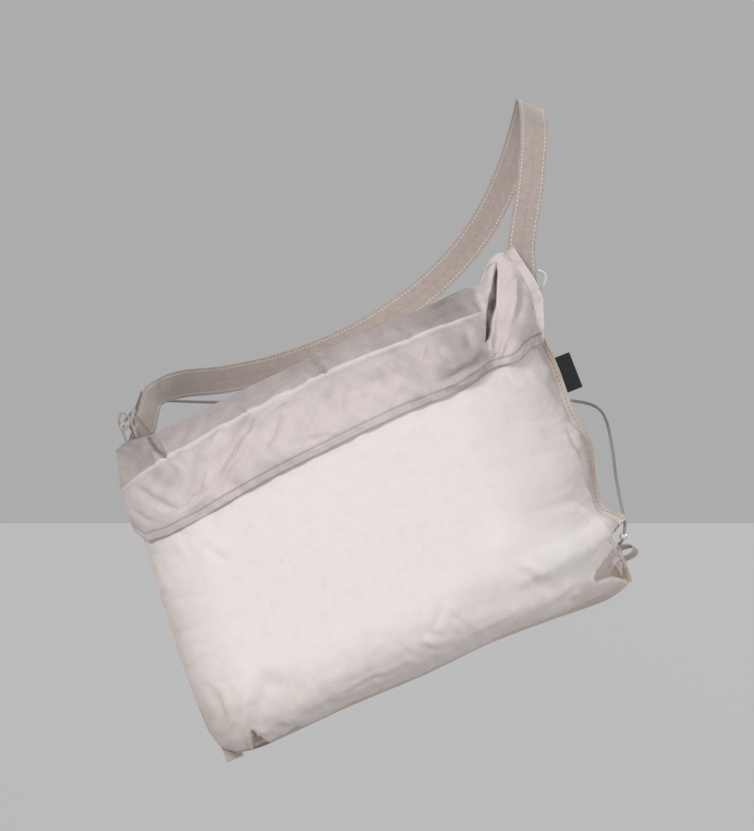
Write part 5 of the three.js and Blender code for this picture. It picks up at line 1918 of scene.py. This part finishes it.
    def make_slider(self) -> None:
        """The slider, cut from a plate in edit mode: bisected, its slots deleted, extruded, bevelled."""
        slider = self.slider
        half_x = slider.strap_width / 2 + 0.3 + slider.side
        half_y = slider.slot + slider.bar * 1.5
        deselect()
        bpy.ops.mesh.primitive_plane_add(size=2)
        piece = bpy.context.object
        piece.name = "strap_slider_plate"
        piece.scale = (half_x * MM, half_y * MM, 1)
        settle_place(piece)
        to_mode("EDIT")
        slot_x = (slider.strap_width / 2 + 0.3) * MM
        cuts = [((x, 0, 0), (1, 0, 0)) for x in (-slot_x, slot_x)]
        for middle in (-slider.pitch / 2, slider.pitch / 2):
            cuts += [((0, (middle + side * slider.slot / 2) * MM, 0), (0, 1, 0)) for side in (-1, 1)]
        for place, way in cuts:
            bpy.ops.mesh.select_all(action="SELECT")
            bpy.ops.mesh.bisect(plane_co=place, plane_no=way)
        bpy.ops.mesh.select_all(action="DESELECT")
        to_mode("OBJECT")
        for face in piece.data.polygons:
            x, y, _ = face.center
            in_slot = abs(abs(y) - slider.pitch * MM / 2) < slider.slot * MM / 2
            face.select = abs(x) < slot_x and in_slot
        to_mode("EDIT")
        bpy.ops.mesh.select_mode(type="FACE")
        bpy.ops.mesh.delete(type="FACE")
        to_mode("OBJECT")
        finish_with(piece, "SOLIDIFY", thickness=slider.thickness * MM, offset=0)
        finish_with(piece, "BEVEL", width=0.75 * MM, segments=3, limit_method="ANGLE")
        face_out(piece)
        basis = np.stack([slider.across, slider.run, np.cross(slider.across, slider.run)], axis=1)
        turn = Matrix(basis.tolist()).to_4x4()
        piece.matrix_world = Matrix.Translation(Vector(slider.centre * MM)) @ turn
        settle_place(piece)
        smooth_shade(piece, 40)
        dress(piece, self.looks["slider"], "hardware", "strap_slider")


# Cords and trim


@dataclass
class Stabiliser:
    """The stabiliser cord with its bead and toggle."""

    looks: dict[str, Material]
    diameter: float = 2.5
    bead_point: int = 4
    loop_size: tuple = (344.0, 228.0, 253.0)
    route: tuple = (
        (0.1657, -0.1807, 1.3814), (0.1831, -0.1737, 1.3723), (0.1971, -0.1675, 1.3632),
        (0.2055, -0.1654, 1.3526), (0.2093, -0.1632, 1.3375), (0.2122, -0.1605, 1.3194),
        (0.2134, -0.1544, 1.2964), (0.2093, -0.1404, 1.2648), (0.2035, -0.114, 1.2213),
        (0.1959, -0.0614, 1.1542), (0.189, 0, 1.0672), (0.1773, 0.0877, 0.9802), (0.157, 0.2368, 0.9368),
        (0.1076, 0.4035, 0.917), (0.0174, 0.5439, 0.9091), (-0.1163, 0.636, 0.9091),
        (-0.2762, 0.6754, 0.913), (-0.436, 0.6754, 0.917), (-0.5959, 0.6272, 0.9209),
        (-0.7326, 0.5175, 0.9209), (-0.8256, 0.3509, 0.917), (-0.8721, 0.193, 0.917),
        (-0.8924, 0.0702, 0.9289), (-0.907, -0.0219, 0.9506), (-0.9215, -0.1009, 0.9783),
        (-0.923, -0.1579, 0.9921), (-0.9221, -0.2206, 0.998),
    )

    def build(self) -> None:
        """Builds and dresses every piece."""
        points = np.array(self.route, float) * self.loop_size * (1, 1, -1)
        route = smooth_route(points, 1.6)[:, :3]
        cord = tube("stabiliser_cord_braid", route, self.diameter, 14)
        dress(cord, self.looks["cord"], "cord", "stabiliser_cord")
        bead = self.make_bead(points)
        toggle = self.make_toggle(points)

    @staticmethod
    def stand(piece: Piece, place: Array, way: Array) -> None:
        """Turns a piece that stands on Z to a way, and moves it to its place."""
        turn = Vector((0, 0, 1)).rotation_difference(Vector(way)).to_matrix().to_4x4()
        piece.matrix_world = Matrix.Translation(Vector(place * MM)) @ turn
        settle_place(piece)

    def barrel(self, name: str, diameter: float, length: float, rounding: float) -> Piece:
        """A turned barrel along Z with rounded ends, each dished in towards the cord.

        Args:
            name: the piece's name.
            diameter, length, rounding: its sizes in millimetres.

        Returns:
            The piece, at the origin.
        """
        deselect()
        bpy.ops.mesh.primitive_cylinder_add(
            vertices=28, radius=diameter / 2 * MM, depth=length * MM, end_fill_type="NGON"
        )
        piece = bpy.context.object
        piece.name = name
        to_mode("EDIT")
        bpy.ops.mesh.select_mode(type="FACE")
        bpy.ops.mesh.select_all(action="DESELECT")
        to_mode("OBJECT")
        for face in piece.data.polygons:
            face.select = abs(face.normal.z) > 0.9
        to_mode("EDIT")
        bpy.ops.mesh.bevel(offset=rounding * MM, segments=5, affect="EDGES", clamp_overlap=True)
        to_mode("OBJECT")
        for face in piece.data.polygons:
            face.select = abs(face.normal.z) > 0.999 and len(face.vertices) > 4
        to_mode("EDIT")
        bpy.ops.mesh.inset(thickness=0.35 * MM, depth=-0.25 * MM, use_individual=True)
        to_mode("OBJECT")
        face_out(piece)
        smooth_shade(piece, 45)
        return piece

    def make_bead(self, points: Array) -> Piece:
        """The glossy bead at the lower right corner."""
        way = unit(points[self.bead_point + 1] - points[self.bead_point - 1])
        bead = self.barrel("cord_bead_gloss", 6.2, 4.6, 1.9)
        self.stand(bead, points[self.bead_point], way)
        dress(bead, self.looks["bead"], "bead", "cord_bead")
        return bead

    def make_toggle(self, points: Array) -> Piece:
        """The toggle that the cord ends in."""
        way = unit(points[-1] - points[-2])
        toggle = self.barrel("toggle_barrel", 6.8, 8.8, 1.6)
        self.stand(toggle, points[-1] - way * 4.5, way)
        dress(toggle, self.looks["slider"], "hardware", "toggle")
        return toggle


@dataclass
class Trim:
    """The elastic loops, the tapes at the lower corners and the bare black label."""

    looks: dict[str, Material]
    tape: float = 1.1
    gap: float = 0.9

    def build(self) -> None:
        """Builds and dresses every piece."""
        self.right_loop()
        self.left_loop()
        self.right_tape()
        self.left_tape()
        self.label()

    def right_loop(self) -> None:
        """The small elastic loop behind the flap's right end."""
        behind = FORM.strap_offset + FORM.cloth / 2 + self.gap + 1.25
        low = float(FORM.top(1.0)) - 0.17 * FORM.height
        rows = np.array([
            (-0.53, 0.85, 0), (0.12, 0.97, 0), (0.65, 1, -0.4), (1, 0.73, -1.5),
            (0.82, 0.4, -1), (0.35, 0.2, 0), (-0.24, 0.15, 0),
        ])
        points = FORM.to_model(FORM.width / 2 + rows[:, 0] * 17, low + rows[:, 1] * 20, -behind - rows[:, 2])
        piece = tube("elastic_loop_right_braid", smooth_route(points, 1.2)[:, :3], 2.4, 12)
        dress(piece, self.looks["elastic"], "elastic", "elastic_loop_right")

    def left_loop(self) -> None:
        """The elastic loop at the upper left corner, which holds the toggle."""
        u = -FORM.width / 2 + 0.055 * FORM.width
        foot = float(FORM.top(0.055)) + 3.1 + FORM.cloth / 2 + FORM.clearance
        rows = np.array([(-1, 0), (-1, 0.4), (-0.95, 0.75), (0, 1), (0.95, 0.75), (1, 0.4), (1, 0)])
        points = FORM.to_model(u + rows[:, 0] * 4.5, foot + rows[:, 1] * 22, 4 + 0 * rows[:, 0])
        piece = tube("elastic_loop_left_braid", smooth_route(points, 1.2)[:, :3], 1.9, 12)
        dress(piece, self.looks["dull_elastic"], "elastic", "elastic_loop_left")

    def band(self, name: str, centres: Array, width_way: Array, width: float) -> Piece:
        """A band of tape along a smooth line.

        Args:
            name: the piece's name.
            centres: chosen points of its middle line.
            width_way, width: which way it is wide, and how wide in millimetres.

        Returns:
            The piece.
        """
        places = smooth_route(centres, 0.9)[:, :3]
        sides = np.linspace(-0.5, 0.5, 9) * width
        along = lengths_along(places)
        points = places[:, None, :] + unit(width_way)[None, None, :] * sides[None, :, None]
        return Sheet(sides - sides[0], along, points).make(name, self.tape)

    def right_tape(self) -> None:
        """The tape loop that stands out of the right seam at the lower corner."""
        seam = FORM.width / 2 + FORM.width * float(curve_through(FORM.right_line, 0.1))
        behind = FORM.sheet_offset + FORM.cloth / 2 + self.gap + 4.5
        rows = np.array([
            (-0.73, -0.41), (0, -0.06), (0.55, 0), (0.91, 0.18), (1, 0.53), (0.73, 0.88),
            (0.27, 1), (-0.18, 1),
        ])
        level = -0.408 * FORM.height
        centres = FORM.to_model(seam + rows[:, 0] * 11, level + rows[:, 1] * 8.5, -behind + 0 * rows[:, 0])
        piece = self.band("corner_tape_loop", centres, np.array([0.5, 1.0, -0.35]), 9)
        dress(piece, self.looks["pale_tape"], "pale_tape", "tape_loop_right")

    def left_tape(self) -> None:
        """The folded ribbed tape under the lower left corner."""
        u = -FORM.width / 2 + 0.02 * FORM.width - 3
        tip = float(FORM.bottom(0.02)) - 5
        front = -FORM.sheet_offset - 1.15 - 2
        rows = [(14.0, front), (7.0, front), (0.0, front)]
        for i in range(1, 6):
            turn = math.pi * i / 5
            rows.append((-1.6 * math.sin(turn), front - 1.6 * (1 - math.cos(turn))))
        rows += [(7.0, front - 3.2), (14.0, front - 3.2)]
        line = np.array(rows)
        centres = FORM.to_model(u + 0 * line[:, 0], tip + line[:, 0], line[:, 1])
        way = FORM.to_model(u + 1, tip, 0) - FORM.to_model(u - 1, tip, 0)
        piece = self.band("corner_tape_fold", centres, way, 14)
        dress(piece, self.looks["pale_tape"], "pale_tape", "tape_loop_left")

    def label(self) -> None:
        """The bare black label in the right seam."""
        middle = 0.19 * FORM.height
        seam = FORM.width / 2 + FORM.width * float(curve_through(FORM.right_line, 0.69))
        w = -FORM.sheet_offset - 1.05 - FORM.clearance
        out, rise = np.linspace(0, 1, 22), np.linspace(-0.5, 0.5, 30)
        grid_out, grid_rise = np.meshgrid(out, rise)
        wave = 0.5 * np.sin(math.pi * grid_out) * noise(grid_rise * 29, grid_out * 6, 14, 71)
        points = FORM.to_model(seam - 5 + grid_out * 18, middle + grid_rise * 29, w + wave)
        sheet = Sheet(out * 18, (rise + 0.5) * 29, points)
        piece = sheet.make("side_label_tab", 0.8)
        finish_with(piece, "BEVEL", width=0.3 * MM, segments=2, limit_method="ANGLE")
        dress(piece, self.looks["label"], "label", "side_label")


# The set


@dataclass(frozen=True)
class Set:
    """The plain pale floor, the studio light and the camera at the photograph's angle."""

    scale_mm: float = 0.77
    frame_width: int = 754
    frame_height: int = 831
    zero_px: tuple = (533.0, 99.0)
    distance: float = 5.0
    aim_y: float = -0.105
    floor_z: float = -0.66
    surround: float = 0.56
    suns: tuple = (
        ("key", 1.5, (0.44, 0.86, -0.44), "fffdfb"),
        ("fill", 0.7, (-0.62, 0.78, -0.1), "fafaff"),
        ("back", 1.35, (-0.4, -0.86, -0.4), "ffffff"),
    )

    def build(self) -> None:
        """Builds the floor, the lights, the world and the camera."""
        self.floor()
        self.lights()
        self.world()
        self.camera()

    def floor(self) -> None:
        """A plain pale floor."""
        deselect()
        bpy.ops.mesh.primitive_plane_add(size=40, location=(0, 0, self.floor_z))
        floor = bpy.context.object
        floor.name = "floor"
        settle_place(floor)
        shader = Shader("pale_floor")
        floor.data.materials.append(shader.finish({"Base Color": linear("c6c6c6"), "Roughness": 0.95}))

    def lights(self) -> None:
        """A broad even key from the upper left, a weaker fill and a light from behind."""
        for name, strength, way, colour in self.suns:
            light = bpy.data.lights.new(name, "SUN")
            light.energy = strength
            light.angle = math.radians(16)
            light.color = linear(colour)[:3]
            lamp = bpy.data.objects.new(name, light)
            lamp.rotation_euler = Vector(way).to_track_quat("-Z", "Y").to_euler()
            bpy.context.collection.objects.link(lamp)

    def world(self) -> None:
        """A pale surround, in colours shown as they are."""
        world = bpy.data.worlds.new("surround")
        bpy.context.scene.world = world
        world.use_nodes = True
        background = world.node_tree.nodes["Background"]
        background.inputs["Color"].default_value = linear("dfdfe0")
        background.inputs["Strength"].default_value = self.surround
        bpy.context.scene.view_settings.view_transform = "Standard"

    def camera(self) -> None:
        """The camera, whose frame is worked out from the photograph's size and scale."""
        data = bpy.data.cameras.new("camera")
        data.sensor_fit = "VERTICAL"
        data.sensor_height = 36
        height = self.frame_height * self.scale_mm * MM
        data.lens = data.sensor_height * self.distance / height
        data.clip_end = 50
        camera = bpy.data.objects.new("camera", data)
        x = (self.frame_width / 2 - self.zero_px[0]) * self.scale_mm * MM
        z = -(self.frame_height / 2 - self.zero_px[1]) * self.scale_mm * MM
        camera.location = (x, self.aim_y - self.distance, z)
        camera.rotation_euler = (math.pi / 2, 0, 0)
        bpy.context.collection.objects.link(camera)
        bpy.context.scene.camera = camera


def main() -> None:
    """Loads the frame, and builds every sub-assembly and the set."""
    logging.basicConfig(level=logging.INFO, format="%(name)s %(message)s")
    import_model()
    looks = Looks().built()
    Set().build()
    Stabiliser(looks).build()
    MainBag(looks).build()
    Flap(looks).build()
    Strap(looks).build()
    Trim(looks).build()


if __name__ == "__main__":
    main()
